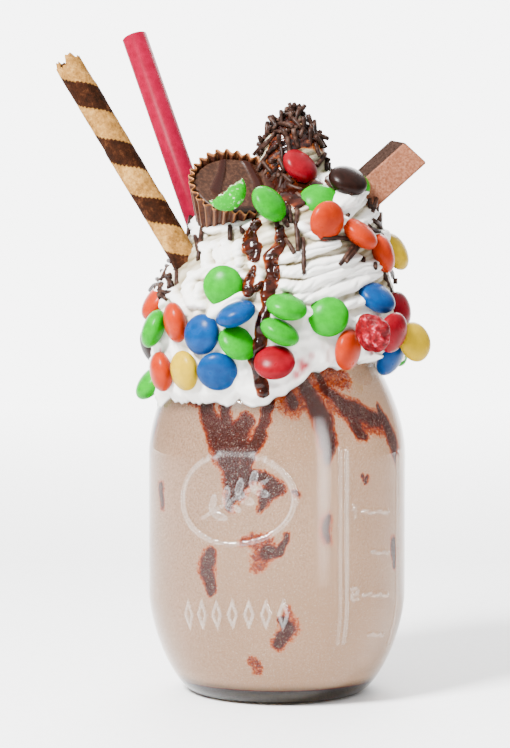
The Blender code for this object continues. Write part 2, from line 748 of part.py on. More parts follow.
def main():
    for old in list(bpy.data.objects):
        bpy.data.objects.remove(old)
    parts = collection("milkshake_parts")
    rooms = collection("rooms")
    toppings = collection("toppings")
    make_jar(parts)
    straw_solid("straw", parts, paint=material("red_plastic", (0.85, 0.0, 0.12), 0.25))
    roll_solid("wafer_roll", parts, paint=material("wafer", (0.65, 0.45, 0.22), 0.8))
    bar_solid("wafer_finger", parts, paint=material("milk_chocolate", (0.36, 0.18, 0.12), 0.5))
    case_solid(parts)
    turned("chocolate_cup", cup_profile(), parts, material("dark_chocolate", (0.07, 0.03, 0.02), 0.4),
           facing(CASE_ALONG, CASE_RIM_AT), FLUTES)
    straw_solid("straw_room", rooms, GAP)
    roll_solid("roll_room", rooms, GAP)
    make_drink(parts, rooms)

    bar_solid("bar_room", rooms, GAP)
    turned("case_room", cup_profile(GAP, True), rooms, None, facing(CASE_ALONG, CASE_RIM_AT), FLUTES)
    jar_room(rooms)
    paints = {name: material("shell_" + name, rgb, 0.3) for name, rgb in COLOURS.items()}
    for number, (colour, matrix) in enumerate(button_places(), 1):
        oblate(f"button_{number:02d}_{colour}", parts, 0.0, paints[colour]).matrix_world = matrix
        oblate("button_room", rooms, GAP).matrix_world = matrix
    half_button("broken_button_green", parts, paints["green"])
    half_button("half_room", rooms, None, GAP)

    cream = cream_body(parts)
    strands(toppings)
    for number, (route, half_width) in enumerate(DRIPS, 1):
        drip(f"drip_{number}", route, half_width, toppings)
    boolean(cream, toppings, "UNION", "MANIFOLD")
    boolean(cream, rooms, "DIFFERENCE", "MANIFOLD")
    drop_scraps(cream)
    empty_out(toppings)
    empty_out(rooms)
    bpy.data.collections.remove(toppings)
    bpy.data.collections.remove(rooms)


main()
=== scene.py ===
"""A milkshake in a pint canning jar: the looks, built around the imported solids."""

import math

import bmesh
import bpy
import numpy as np
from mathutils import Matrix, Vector


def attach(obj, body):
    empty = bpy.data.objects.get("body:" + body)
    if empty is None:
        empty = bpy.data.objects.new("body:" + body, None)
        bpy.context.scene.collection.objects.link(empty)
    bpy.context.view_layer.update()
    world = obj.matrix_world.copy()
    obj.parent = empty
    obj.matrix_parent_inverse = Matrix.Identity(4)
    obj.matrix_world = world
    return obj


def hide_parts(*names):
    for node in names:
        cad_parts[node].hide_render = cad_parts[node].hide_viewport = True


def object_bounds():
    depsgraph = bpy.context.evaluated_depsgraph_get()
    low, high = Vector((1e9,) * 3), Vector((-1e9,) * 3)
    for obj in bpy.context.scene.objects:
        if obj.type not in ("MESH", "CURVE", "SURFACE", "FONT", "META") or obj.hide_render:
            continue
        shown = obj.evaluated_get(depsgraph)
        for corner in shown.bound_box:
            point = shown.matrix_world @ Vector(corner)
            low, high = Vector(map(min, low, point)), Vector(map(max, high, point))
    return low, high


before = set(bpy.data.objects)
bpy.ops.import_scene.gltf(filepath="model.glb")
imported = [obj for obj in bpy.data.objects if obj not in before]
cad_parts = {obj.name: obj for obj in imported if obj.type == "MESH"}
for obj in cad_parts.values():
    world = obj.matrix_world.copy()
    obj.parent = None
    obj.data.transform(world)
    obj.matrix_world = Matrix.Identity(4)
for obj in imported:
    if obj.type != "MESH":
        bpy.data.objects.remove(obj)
cad_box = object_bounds()

MM = 0.001
EYE, AIM, LENS = np.array([0.0, -700.0, 136.0]) * MM, (-6.97 * MM, 0, 100.3 * MM), 106.4

# The jar, with the solids' measures
BASE_R, BODY_R, NECK_R = 26.5 * MM, 40.7 * MM, 32.0 * MM
HEEL_TOP, SHOULDER_START, NECK_Z = 31 * MM, 76 * MM, 103 * MM
HEEL_POWER, SHOULDER_POWER = 1.55, 1.75
RIM_Z, THREAD_R, MOUTH_R = 125 * MM, 34.0 * MM, 30.0 * MM
WALL, FLOOR_Z, PUSH_UP = 3.0 * MM, 5.0 * MM, 1.0 * MM
GLASS_INDEX, MARK_HEIGHT = 1.28, 0.6 * MM
DRINK_TOP = 120 * MM
DRINK_OVERLAP = 0.15 * MM

# The cream, with the solid's measures: height and radius in millimetres
CREAM_STATIONS = np.array([
    (91.0, 38.4), (96.0, 39.8), (104.0, 40.4), (112.0, 40.2), (120.0, 39.4), (127.0, 37.6),
    (134.0, 35.0), (141.0, 32.8), (147.0, 30.4), (152.0, 27.0), (156.0, 22.4), (159.0, 17.4),
    (162.0, 13.6), (166.0, 11.6), (171.0, 11.3), (175.0, 9.8), (179.0, 6.8), (182.0, 3.4), (184.5, 0.0),
]) * MM
PEAK_Z, PEAK_SHIFT = 184.5 * MM, 4.8 * MM
SHIFT_FROM, SHIFT_TO = 124 * MM, 160 * MM
CUP_SIDE, CUP_SIDE_WIDTH, CUP_SINK = math.radians(-139), math.radians(42), 6 * MM
SINK_FROM, SINK_TO = 132 * MM, 144 * MM

RIDGES, CLIMB = 13, math.radians(25)
# Turns stepped by this share of a circle never bunch up
GOLDEN = 0.618034

BUTTON_R, BUTTON_HALF = 6.35 * MM, 3.4 * MM

STRAW_R, STRAW_WALL = 4.1 * MM, 0.45 * MM
STRAW_AT = np.array([-24.0, 12.0, 145.0]) * MM
STRAW_ALONG = np.array([-23.3, 16.0, 66.0])
STRAW_UP, STRAW_DOWN = 70 * MM, 136 * MM

ROLL_R, ROLL_WALL = 4.7 * MM, 1.5 * MM
ROLL_TOP = np.array([-65.0, -10.0, 197.5]) * MM
ROLL_ALONG = np.array([-0.512, 0.0, 0.859])
ROLL_LENGTH = 118 * MM

CASE_RIM_R, CASE_FOOT_R, CASE_DEPTH = 14.3 * MM, 10.6 * MM, 16 * MM
FLUTES, FLUTE_DEPTH = 28, 0.85 * MM
CASE_RIM_AT = np.array([-12.6, -13.5, 160.6]) * MM
CASE_ALONG = np.array([0.142, -0.67, 0.729])


# numbers and shapes


def linear(code):
    """An sRGB hex colour as linear RGBA."""
    srgb = np.array([int(code[i:i + 2], 16) for i in (1, 3, 5)]) / 255
    rgb = np.where(srgb <= 0.04045, srgb / 12.92, ((srgb + 0.055) / 1.055) ** 2.4)
    return (*rgb.tolist(), 1.0)


def eased(value, low, high):
    """0 below low, 1 above high, 3t^2 - 2t^3 between."""
    share = np.clip((value - low) / (high - low), 0, 1)
    return share * share * (3 - 2 * share)


def speckle(points, cell, seed=0):
    """A smooth random field from -1 to 1: a random number at each corner of a lattice with
    cells of that size, blended along each edge by 3t^2 - 2t^3. The long numbers only stir."""
    spot = np.asarray(points, float) / cell + 31.7 + 7.31 * seed
    base = np.floor(spot).astype(np.int64)
    share = spot - base
    share = share * share * (3 - 2 * share)
    total = np.zeros(spot.shape[:-1])
    for corner in range(8):
        step = np.array([corner & 1, corner >> 1 & 1, corner >> 2])
        mixed = ((base + step) * np.array([73856093, 19349663, 83492791])).sum(-1) + seed * 7919
        mixed = ((mixed ^ (mixed >> 13)) * 1274126177) & 0x7FFFFFFF
        total += np.where(step, share, 1 - share).prod(-1) * (mixed / 0x3FFFFFFF - 1)
    return total


def flat(x, z):
    """Points on a plane, for speckle."""
    return np.stack([x, z, x * 0], -1)


def dome(away):
    """A half-ellipse's height: 1 in the middle, 0 from a distance of 1 on."""
    return np.sqrt(np.clip(1 - away**2, 0, 1))


def unit(vector):
    vector = np.asarray(vector, float)
    return vector / np.linalg.norm(vector, axis=-1, keepdims=True)


def seen_at(x, y, z):
    """Where a point lies for the eye, as (x, z) of the plane through the axis."""
    share = -EYE[1] / (y - EYE[1])
    return x * share, EYE[2] + (z - EYE[2]) * share


def axes_for(along, hint=(0.0, 0.0, 1.0)):
    """Three directions at right angles, as rows: the third is along, the first near the hint."""
    third = unit(along)
    hint = np.asarray(hint, float)
    first = unit(hint - hint @ third * third)
    return np.array([first, np.cross(third, first), third])


def round_grid(radii, heights, turns):
    """Points at each height's radius and each turn, about Z: radius (cos t, sin t), height."""
    radii, heights = np.broadcast_arrays(radii, heights)
    if radii.ndim == 1:
        radii, heights = radii[:, None], heights[:, None]
    radii, heights, turns = np.broadcast_arrays(radii, heights, turns)
    return np.stack([radii * np.cos(turns), radii * np.sin(turns), heights], -1)


def full_turn(count):
    return np.arange(count) * (2 * np.pi / count)


def along_lines(x, z, line):
    """Distance to each span of a line of (x, z, half width) in millimetres and the width there."""
    for (x1, z1, w1), (x2, z2, w2) in zip(line, line[1:]):
        dx, dz = (x2 - x1) * MM, (z2 - z1) * MM
        share = np.clip(((x - x1 * MM) * dx + (z - z1 * MM) * dz) / (dx * dx + dz * dz + 1e-12), 0, 1)
        yield np.hypot(x - x1 * MM - share * dx, z - z1 * MM - share * dz), (w1 + (w2 - w1) * share) * MM


def placed(name, data):
    made = bpy.data.objects.new(name, data)
    bpy.context.scene.collection.objects.link(made)
    return made


def piece(name, grids, paint, replaces=(), fields=None):
    """One mesh from grids of points. Rows run up a shape and columns anticlockwise round it,
    so faces point out, and the last column joins the first."""
    faces, start = [], 0
    for grid in grids:
        rows, columns = grid.shape[:2]
        index = np.arange(rows * columns).reshape(rows, columns) + start
        index = np.concatenate([index, index[:, :1]], 1)
        quads = np.stack([index[:-1, :-1], index[:-1, 1:], index[1:, 1:], index[1:, :-1]], -1)
        faces.append(quads.reshape(-1, 4))
        start += rows * columns
    points, faces = np.concatenate([grid.reshape(-1, 3) for grid in grids]), np.concatenate(faces)
    mesh = bpy.data.meshes.new(name)
    mesh.vertices.add(len(points))
    mesh.vertices.foreach_set("co", points.ravel())
    mesh.loops.add(faces.size)
    mesh.loops.foreach_set("vertex_index", faces.ravel())
    mesh.polygons.add(len(faces))
    mesh.polygons.foreach_set("loop_start", np.arange(0, faces.size, 4))
    mesh.polygons.foreach_set("use_smooth", np.ones(len(faces), bool))
    mesh.update(calc_edges=True)
    for field, values in (fields or {}).items():
        layer = mesh.attributes.new(field, "FLOAT", "POINT")
        layer.data.foreach_set("value", np.asarray(values, float).ravel())
    shape = bmesh.new()
    shape.from_mesh(mesh)
    bmesh.ops.remove_doubles(shape, verts=shape.verts, dist=0.002 * MM)
    bmesh.ops.dissolve_degenerate(shape, dist=0.001 * MM, edges=shape.edges)
    shape.to_mesh(mesh)
    shape.free()
    mesh.materials.append(paint)
    made = placed(name, mesh)
    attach(made, "root")
    if replaces:
        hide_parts(*replaces)


# materials


def wire(target, inputs):
    """Sets or links a node's inputs. A node stands for its factor, or else its first output,
    and a hex code for its colour."""
    for key, value in inputs.items():
        if isinstance(value, bpy.types.Node):
            value = value.outputs["Fac" if "Fac" in value.outputs else 0]
        if isinstance(value, bpy.types.NodeSocket):
            target.id_data.links.new(value, target.inputs[key])
        else:
            target.inputs[key].default_value = linear(value) if isinstance(value, str) else value


def node(tree, kind, inputs=None, stops=(), **settings):
    """Adds one node with its settings, colour stops and inputs."""
    made = tree.nodes.new("ShaderNode" + kind)
    for key, value in settings.items():
        setattr(made, key, value)
    for number, (place, code) in enumerate(stops):
        ramp = made.color_ramp.elements
        stop = ramp[number] if number < len(ramp) else ramp.new(place)
        stop.position, stop.color = place, linear(code)
    wire(made, inputs or {})
    return made


def grain(size):
    """A noise's scale for grains of a size in millimetres. Where the real grain is too fine to
    show, as in froth, paper and chocolate, the size is as coarse as it takes to show."""
    return 1 / (size * MM)


def started(name, **values):
    """A new material's tree and shader, with the shader's own sockets set."""
    made = bpy.data.materials.new(name)
    made.use_nodes = True
    shader = made.node_tree.nodes["Principled BSDF"]
    for key, value in values.items():
        shader.inputs[key.replace("_", " ")].default_value = value
    where = node(made.node_tree, "TexCoord").outputs["Object"]
    return made, made.node_tree, shader, where


def shell_paint(name, code, dark):
    """Hard panned sugar shell, polished with wax: a slightly mottled colour, a soft gloss, and
    a skin that is not quite even."""
    made, tree, shader, where = started("sugar_shell_" + name, Specular_IOR_Level=0.09)
    mottle = node(tree, "TexNoise", {"Vector": where, "Scale": grain(2.38), "Detail": 3.0})
    tint = node(tree, "ValToRGB", {"Fac": mottle}, [(0.32, dark), (0.62, code)])
    rough = node(tree, "MapRange", {"Value": mottle, "To Min": 0.34, "To Max": 0.24})
    fine = node(tree, "TexNoise", {"Vector": where, "Scale": grain(1.11)})
    bump = node(tree, "Bump", {"Height": fine, "Strength": 0.12, "Distance": 0.2 * MM})
    wire(shader, {"Base Color": tint, "Roughness": rough, "Normal": bump})
    return made


def broken_paint():
    """The same shell, scuffed, snapped through to its chocolate; the shell's cut edge is pale."""
    made, tree, shader, where = started("snapped_sugar_shell", Specular_IOR_Level=0.08, Roughness=0.4)
    inside = node(tree, "Attribute", attribute_name="inside")
    scuff = node(tree, "TexNoise", {"Vector": where, "Scale": grain(1.25), "Detail": 3.0, "Roughness": 0.7})
    shell = node(tree, "ValToRGB", {"Fac": scuff}, [(0.45, "#008400"), (0.6, "#189A10"), (0.66, "#A8C898")])
    cut = node(tree, "ValToRGB", {"Fac": scuff}, [(0.4, "#6A8A50"), (0.6, "#B8C8A4")])
    core = node(tree, "ValToRGB", {"Fac": scuff}, [(0.4, "#24120A"), (0.65, "#4A2C1C")])
    rim = node(tree, "MapRange", {"Value": inside, "From Min": 0.3, "From Max": 0.9})
    deep = node(tree, "MapRange", {"Value": inside, "From Min": 1.2, "From Max": 1.8})
    tint = node(tree, "MixRGB", {"Fac": rim, "Color1": shell, "Color2": cut})
    tint = node(tree, "MixRGB", {"Fac": deep, "Color1": tint, "Color2": core})
    wire(shader, {"Base Color": tint})
    return made


def crushed_paint():
    """A shell squeezed till it cracked: red flakes with pale, sugary cracks and painted pale pink
    highlights.
    """
    made, tree, shader, where = started("crushed_sugar_shell", Specular_IOR_Level=0.1, Roughness=0.4)
    bent = node(tree, "TexNoise", {"Vector": where, "Scale": grain(3.33)})
    bent = node(tree, "VectorMath", {0: bent.outputs["Color"], "Scale": 3 * MM}, operation="SCALE")
    moved = node(tree, "VectorMath", {0: where, 1: bent}, operation="ADD")
    cells = node(tree, "TexNoise", {"Vector": moved, "Scale": grain(1.92), "Detail": 3.0})
    # partly painted highlight: the palest pinks stand for sugary cracks and for light caught on the wet
    # shell
    tint = node(tree, "ValToRGB", {"Fac": cells},
                [(0.4, "#4A0006"), (0.56, "#6E000C"), (0.64, "#901A2C"), (0.72, "#C06068")])
    bump = node(tree, "Bump", {"Height": cells, "Strength": 0.8, "Distance": 0.8 * MM})
    wire(shader, {"Base Color": tint, "Normal": bump})
    return made


def glass_paint():
    """Soda-lime glass, pressed in a mould: clear and faintly wavy."""
    made, tree, shader, where = started(
        "pressed_soda_lime_glass", Roughness=0.02, IOR=GLASS_INDEX, Transmission_Weight=1.0,
        Specular_IOR_Level=0.12, Coat_Weight=0.22, Coat_Roughness=0.2, Coat_IOR=1.3)
    # painted shade: the thick foot is tinted dark olive brown, for the shade seen through it
    foot = node(tree, "Attribute", attribute_name="foot")
    body = node(tree, "MixRGB", {"Fac": foot, "Color1": "#FBFDFC", "Color2": "#6A5A3C"})
    # painted highlight: the raised marks, most of all their edges, are made a little milky white, for the
    # light they catch
    painted_mark_highlight = node(tree, "Attribute", attribute_name="painted_mark_highlight")
    clear = node(tree, "MapRange", {"Value": painted_mark_highlight, "To Min": 1.0, "To Max": 0.84})
    wave = node(tree, "TexNoise", {"Vector": where, "Scale": grain(16.7), "Detail": 1.0})
    bump = node(tree, "Bump", {"Height": wave, "Strength": 0.05, "Distance": 1.0 * MM})
    wire(shader, {"Base Color": body, "Transmission Weight": clear, "Normal": bump})
    return made


def drink_paint():
    """Thick milkshake behind glass: matt beige, with chocolate sauce smeared on the wall. The
    sauce is orange brown where it is thin and nearly black where it is thick."""
    made, tree, shader, where = started("milkshake", Roughness=0.6, Specular_IOR_Level=0.1)
    froth = node(tree, "TexNoise", {"Vector": where, "Scale": grain(0.667), "Detail": 3.0, "Roughness": 0.8})
    milk = node(tree, "ValToRGB", {"Fac": froth}, [(0.36, "#8A6A50"), (0.64, "#B89278")])
    # painted light and shade: the milk is darker towards the bottom and to the right, and lighter at the
    # left
    painted_shade = node(tree, "Attribute", attribute_name="painted_shade")
    milk = node(tree, "MixRGB", {"Fac": painted_shade, "Color1": milk, "Color2": "#947256"})
    sauce = node(tree, "Attribute", attribute_name="sauce")
    ragged = node(tree, "TexNoise", {"Vector": where, "Scale": grain(0.769)})
    ragged = node(tree, "MapRange", {"Value": ragged, "From Min": 0.3, "From Max": 0.7,
                                     "To Min": -0.22, "To Max": 0.22})
    amount = node(tree, "Math", {0: sauce, 1: ragged}, operation="ADD")
    edge = node(tree, "MapRange", {"Value": sauce, "From Min": 0.02, "From Max": 0.2})
    amount = node(tree, "Math", {0: amount, 1: edge}, operation="MULTIPLY")
    tint = node(tree, "ValToRGB", {"Fac": amount},
                [(0.12, "#B25A18"), (0.4, "#843004"), (0.62, "#541200"), (0.95, "#2C0600")])
    cover = node(tree, "MapRange", {"Value": amount, "From Min": 0.1, "From Max": 0.36})
    tint = node(tree, "MixRGB", {"Fac": cover, "Color1": milk, "Color2": tint})
    # painted glints: tiny pale specks of light at the wall, most visible against the sauce
    painted_glints = node(tree, "TexNoise", {"Vector": where, "Scale": grain(0.294), "Detail": 1.0})
    painted_glints = node(tree, "MapRange", {"Value": painted_glints, "From Min": 0.66, "From Max": 0.72, "To Max": 0.6})
    tint = node(tree, "MixRGB", {"Fac": painted_glints, "Color1": tint, "Color2": "#D8C8B8"})
    wire(shader, {"Base Color": tint})
    return made


def cream_paint():
    """Whipped cream: off-white, lightly translucent, soft sheen; sauce and shell colour have
    stained it in places."""
    made, tree, shader, where = started(
        "whipped_cream", Roughness=0.42, Subsurface_Weight=0.1, Subsurface_Scale=1.0 * MM,
        Subsurface_Radius=(1.0, 0.85, 0.7), Specular_IOR_Level=0.3)
    # painted shade: the cream darkens to a greyish yellow in the valleys between its folds and ridges
    painted_hollow_shade = node(tree, "Attribute", attribute_name="painted_hollow_shade")
    body = node(tree, "ValToRGB", {"Fac": painted_hollow_shade}, [(0.0, "#E8E6E1"), (0.35, "#D6CFBE"), (1.0, "#7A6C4C")])
    sauce = node(tree, "Attribute", attribute_name="sauce")
    ragged = node(tree, "TexNoise", {"Vector": where, "Scale": grain(1.43)})
    amount = node(tree, "Math", {0: sauce, 1: ragged}, operation="MULTIPLY")
    tint = node(tree, "ValToRGB", {"Fac": amount},
                [(0.06, "#C89A64"), (0.16, "#7A3A10"), (0.3, "#340F05"), (0.5, "#180705")])
    cover = node(tree, "MapRange", {"Value": amount, "From Min": 0.04, "From Max": 0.12})
    body = node(tree, "MixRGB", {"Fac": cover, "Color1": body, "Color2": tint})
    for name, code in (("pink", "#B82C3C"), ("green", "#4CA03A")):
        stain = node(tree, "Attribute", attribute_name=name)
        body = node(tree, "MixRGB", {"Fac": stain, "Color1": body, "Color2": code})
    gloss = node(tree, "MapRange", {"Value": amount, "From Min": 0.05, "From Max": 0.2,
                                    "To Min": 0.45, "To Max": 0.14})
    fine = node(tree, "TexNoise", {"Vector": where, "Scale": grain(1.54), "Detail": 3.0})
    bump = node(tree, "Bump", {"Height": fine, "Strength": 0.18, "Distance": 0.4 * MM})
    wire(shader, {"Base Color": body, "Roughness": gloss, "Normal": bump})
    return made


def sauce_paint():
    """Chocolate sauce: wet and glossy, dark where it is thick, orange brown at its thin edge."""
    made, tree, shader, where = started("chocolate_sauce", Roughness=0.12, Specular_IOR_Level=0.2)
    thick = node(tree, "Attribute", attribute_name="thick")
    drift = node(tree, "TexNoise", {"Vector": where, "Scale": grain(2.63)})
    drift = node(tree, "MapRange", {"Value": drift, "From Min": 0.3, "From Max": 0.7,
                                    "To Min": -0.45, "To Max": 0.3})
    amount = node(tree, "Math", {0: thick, 1: drift}, operation="ADD")
    tint = node(tree, "ValToRGB", {"Fac": amount},
                [(0.02, "#96501E"), (0.24, "#602408"), (0.55, "#341005"), (0.95, "#1A0703")])
    wire(shader, {"Base Color": tint})
    return made


def vermicelli_paint():
    """Extruded chocolate strands: dull dark brown, greyish on their dusty sides."""
    made, tree, shader, where = started("chocolate_vermicelli", Specular_IOR_Level=0.1)
    dust = node(tree, "TexNoise", {"Vector": where, "Scale": grain(2.0), "Detail": 3.0})
    tint = node(tree, "ValToRGB", {"Fac": dust}, [(0.3, "#150B08"), (0.52, "#2C1A13"), (0.72, "#503A30")])
    rough = node(tree, "MapRange", {"Value": dust, "To Min": 0.3, "To Max": 0.6})
    wire(shader, {"Base Color": tint, "Roughness": rough})
    return made


def straw_paint():
    """Extruded polypropylene: bright red and smooth, with a satin skin."""
    made, tree, shader, where = started("red_polypropylene", Roughness=0.35, Specular_IOR_Level=0.03)
    haze = node(tree, "TexNoise", {"Vector": where, "Scale": grain(2.0), "Detail": 1.0})
    tint = node(tree, "ValToRGB", {"Fac": haze}, [(0.3, "#6A001C"), (0.7, "#780024")])
    wire(shader, {"Base Color": tint})
    return made


def wafer_paint():
    """Baked rolled wafer: dry tan batter with a darker cocoa stripe, fine open pores."""
    made, tree, shader, where = started("baked_wafer", Roughness=0.75, Specular_IOR_Level=0.04)
    pores = node(tree, "TexNoise", {"Vector": where, "Scale": grain(0.909), "Detail": 4.0, "Roughness": 0.7})
    cloud = node(tree, "TexNoise", {"Vector": where, "Scale": grain(3.85), "Detail": 3.0})
    fray = node(tree, "MapRange", {"Value": pores, "From Min": 0.3, "From Max": 0.7,
                                   "To Min": -0.35, "To Max": 0.35})
    stripe = node(tree, "Attribute", attribute_name="stripe")
    band = node(tree, "Math", {0: stripe, 1: fray}, operation="ADD")
    band = node(tree, "MapRange", {"Value": band, "From Min": 0.3, "From Max": 0.7})
    both = node(tree, "Math", {0: pores, 1: cloud}, operation="ADD")
    half = node(tree, "Math", {0: both, 1: 0.5}, operation="MULTIPLY")
    tan = node(tree, "ValToRGB", {"Fac": half}, [(0.36, "#64421A"), (0.5, "#906630"), (0.64, "#B48A4C")])
    dark = node(tree, "ValToRGB", {"Fac": half}, [(0.36, "#160A04"), (0.52, "#281207"), (0.66, "#4C2C18")])
    tint = node(tree, "MixRGB", {"Fac": band, "Color1": tan, "Color2": dark})
    bump = node(tree, "Bump", {"Height": pores, "Strength": 0.5, "Distance": 0.25 * MM})
    wire(shader, {"Base Color": tint, "Normal": bump})
    return made


def milk_chocolate_paint():
    """Moulded milk chocolate, a little dusty: pinkish brown, dull, fine specks. Painted shade: the
    sides that face up are painted darker and lose their gloss."""
    made, tree, shader, where = started("moulded_milk_chocolate", Roughness=0.5, Specular_IOR_Level=0.12)
    specks = node(tree, "TexNoise", {"Vector": where, "Scale": grain(0.833), "Detail": 4.0,
                                     "Roughness": 0.75})
    dusty = node(tree, "ValToRGB", {"Fac": specks}, [(0.3, "#5E3622"), (0.5, "#825039"), (0.7, "#9A6A52")])
    # painted shade: the faces that point up are painted dark brown
    painted_top_shade = node(tree, "ValToRGB", {"Fac": specks}, [(0.36, "#1A110C"), (0.66, "#40302A")])
    facing = node(tree, "SeparateXYZ", {"Vector": node(tree, "TexCoord").outputs["Normal"]})
    facing_up = node(tree, "MapRange", {"Value": facing.outputs["Z"], "From Min": 0.35, "From Max": 0.5})
    tint = node(tree, "MixRGB", {"Fac": facing_up, "Color1": dusty, "Color2": painted_top_shade})
    gloss = node(tree, "MapRange", {"Value": facing_up, "To Min": 0.12, "To Max": 0.0})
    bump = node(tree, "Bump", {"Height": specks, "Strength": 0.3, "Distance": 0.15 * MM})
    wire(shader, {"Base Color": tint, "Specular IOR Level": gloss, "Normal": bump})
    return made


def cup_paint():
    """Dark chocolate cup: satin brown-black, with fine specks, and glossy under the glaze."""
    made, tree, shader, where = started("moulded_dark_chocolate", Roughness=0.42, Specular_IOR_Level=0.14)
    specks = node(tree, "TexNoise", {"Vector": where, "Scale": grain(1.0), "Detail": 4.0, "Roughness": 0.7})
    tint = node(tree, "ValToRGB", {"Fac": specks}, [(0.3, "#1E110B"), (0.5, "#301C12"), (0.72, "#4C3224")])
    glaze = node(tree, "Attribute", attribute_name="glaze")
    tint = node(tree, "MixRGB", {"Fac": glaze, "Color1": tint, "Color2": "#220C07"})
    rough = node(tree, "MapRange", {"Value": glaze, "To Min": 0.42, "To Max": 0.1})
    bump = node(tree, "Bump", {"Height": specks, "Strength": 0.25, "Distance": 0.15 * MM})
    wire(shader, {"Base Color": tint, "Roughness": rough, "Normal": bump})
    return made


def paper_paint():
    """Pleated greaseproof paper: thin, brown, lighter along its cut edge and folds."""
    made, tree, shader, where = started("pleated_greaseproof_paper", Roughness=0.45, Specular_IOR_Level=0.2)
    fibre = node(tree, "TexNoise", {"Vector": where, "Scale": grain(1.43), "Detail": 3.0})
    brown = node(tree, "ValToRGB", {"Fac": fibre}, [(0.3, "#2A1108"), (0.7, "#4C2614")])
    edge = node(tree, "Attribute", attribute_name="edge")
    tint = node(tree, "MixRGB", {"Fac": edge, "Color1": brown, "Color2": "#9A6236"})
    wire(shader, {"Base Color": tint})
    return made


def floor_paint():
    """Matt white acrylic, lit from below behind the jar, so that it runs into the white there."""
    made, tree, shader, where = started("white_acrylic_light_table", Roughness=0.7,
                                        Emission_Color=(1, 1, 1, 1))
    back = node(tree, "SeparateXYZ", {"Vector": where}).outputs["Y"]
    glow = node(tree, "MapRange", {"Value": back, "From Min": 0.3, "From Max": 1.3, "To Max": 3.6})
    cloud = node(tree, "TexNoise", {"Vector": where, "Scale": grain(3.33)})
    tint = node(tree, "ValToRGB", {"Fac": cloud}, [(0.3, "#F4F4F4"), (0.7, "#F8F8F8")])
    wire(shader, {"Base Color": tint, "Emission Strength": glow})
    return made


# the jar and the drink


def jar_radius(z):
    """The jar's outside: superellipse heel, straight body, shoulder falling as a power."""
    left = np.clip(1 - z / HEEL_TOP, 0, 1)
    heel = BASE_R + (BODY_R - BASE_R) * (1 - left**HEEL_POWER) ** (1 / HEEL_POWER)
    share = np.clip((z - SHOULDER_START) / (NECK_Z - SHOULDER_START), 0, 1)
    return heel - (BODY_R - NECK_R) * share**SHOULDER_POWER


def stroke(across, up, x1, z1, x2, z2, half):
    """How near a point is to a line's span: 1 on it, falling to 0 at half its width."""
    dx, dz = x2 - x1, z2 - z1
    length = dx * dx + dz * dz
    share = np.clip(((across - x1) * dx + (up - z1) * dz) / max(length, 1e-12), 0, 1)
    away = np.hypot(across - x1 - share * dx, up - z1 - share * dz)
    return eased(-away, -half, -half * 0.35)


# The raised lines of the jar's measuring scale, as distance round the glass from the front
# and height, in millimetres: two long ribs, four ticks, then the numbers 1 and 2 in strokes
SCALE_LINES = (
    (21.2, 14, 21.2, 75), (23.6, 14, 23.6, 75), (49.2, 14, 49.2, 75), (50, 14, 50, 75),
    (29.9, 56.5, 42.5, 56.5), (34, 43.5, 42.5, 43.5), (29.9, 30, 42.5, 30), (34, 17, 42.5, 17),
    (26.6, 54.8, 26.6, 58.4), (25.8, 57.6, 26.6, 58.4), (25.6, 31.6, 27.6, 31.6), (27.6, 31.6, 27.6, 30),
    (25.6, 30, 27.6, 30), (25.6, 30, 25.6, 28.4), (25.6, 28.4, 27.6, 28.4),
)
# A plain row of upright lozenges under the badge: their middles round the glass
LOZENGES = (-31.0, -25.5, -20.0, -14.5, -9.0, -3.5, 2.0)
# A plain oval badge with a leaf sprig, centred left of the front
BADGE_AT, BADGE_HIGH, BADGE_WIDE = (-14.0, 60.5), 14.5, 19.5


def front_place(turns, heights, inner=0.0):
    """Where the eye sees a place on the jar, as distance round the glass and height as if it lay
    on the plane through the axis. For the drink at radius inner the wall bends the ray: one that
    passes the axis at b arrives at turn asin(b/R) - asin(b/nR) + asin(b/nr)."""
    turn = (turns + math.pi / 2 + math.pi) % (2 * math.pi) - math.pi
    passing = np.linspace(0, 0.9999, 400)
    arrives = np.arcsin(passing)
    if inner:
        bent = passing / GLASS_INDEX
        arrives = arrives - np.arcsin(bent) + np.arcsin(bent * BODY_R / inner)
    side = np.interp(abs(turn), arrives, passing)
    near = np.sqrt(1 - side**2) * (abs(turn) < math.pi / 2)
    share = 1 / (1 - near * BODY_R / -EYE[1])
    side = np.arcsin(np.clip(side * share, 0, 1))
    across = np.sign(turn) * np.where(abs(turn) < math.radians(84), side, abs(turn)) * BODY_R
    return across, EYE[2] + (heights - EYE[2]) * share


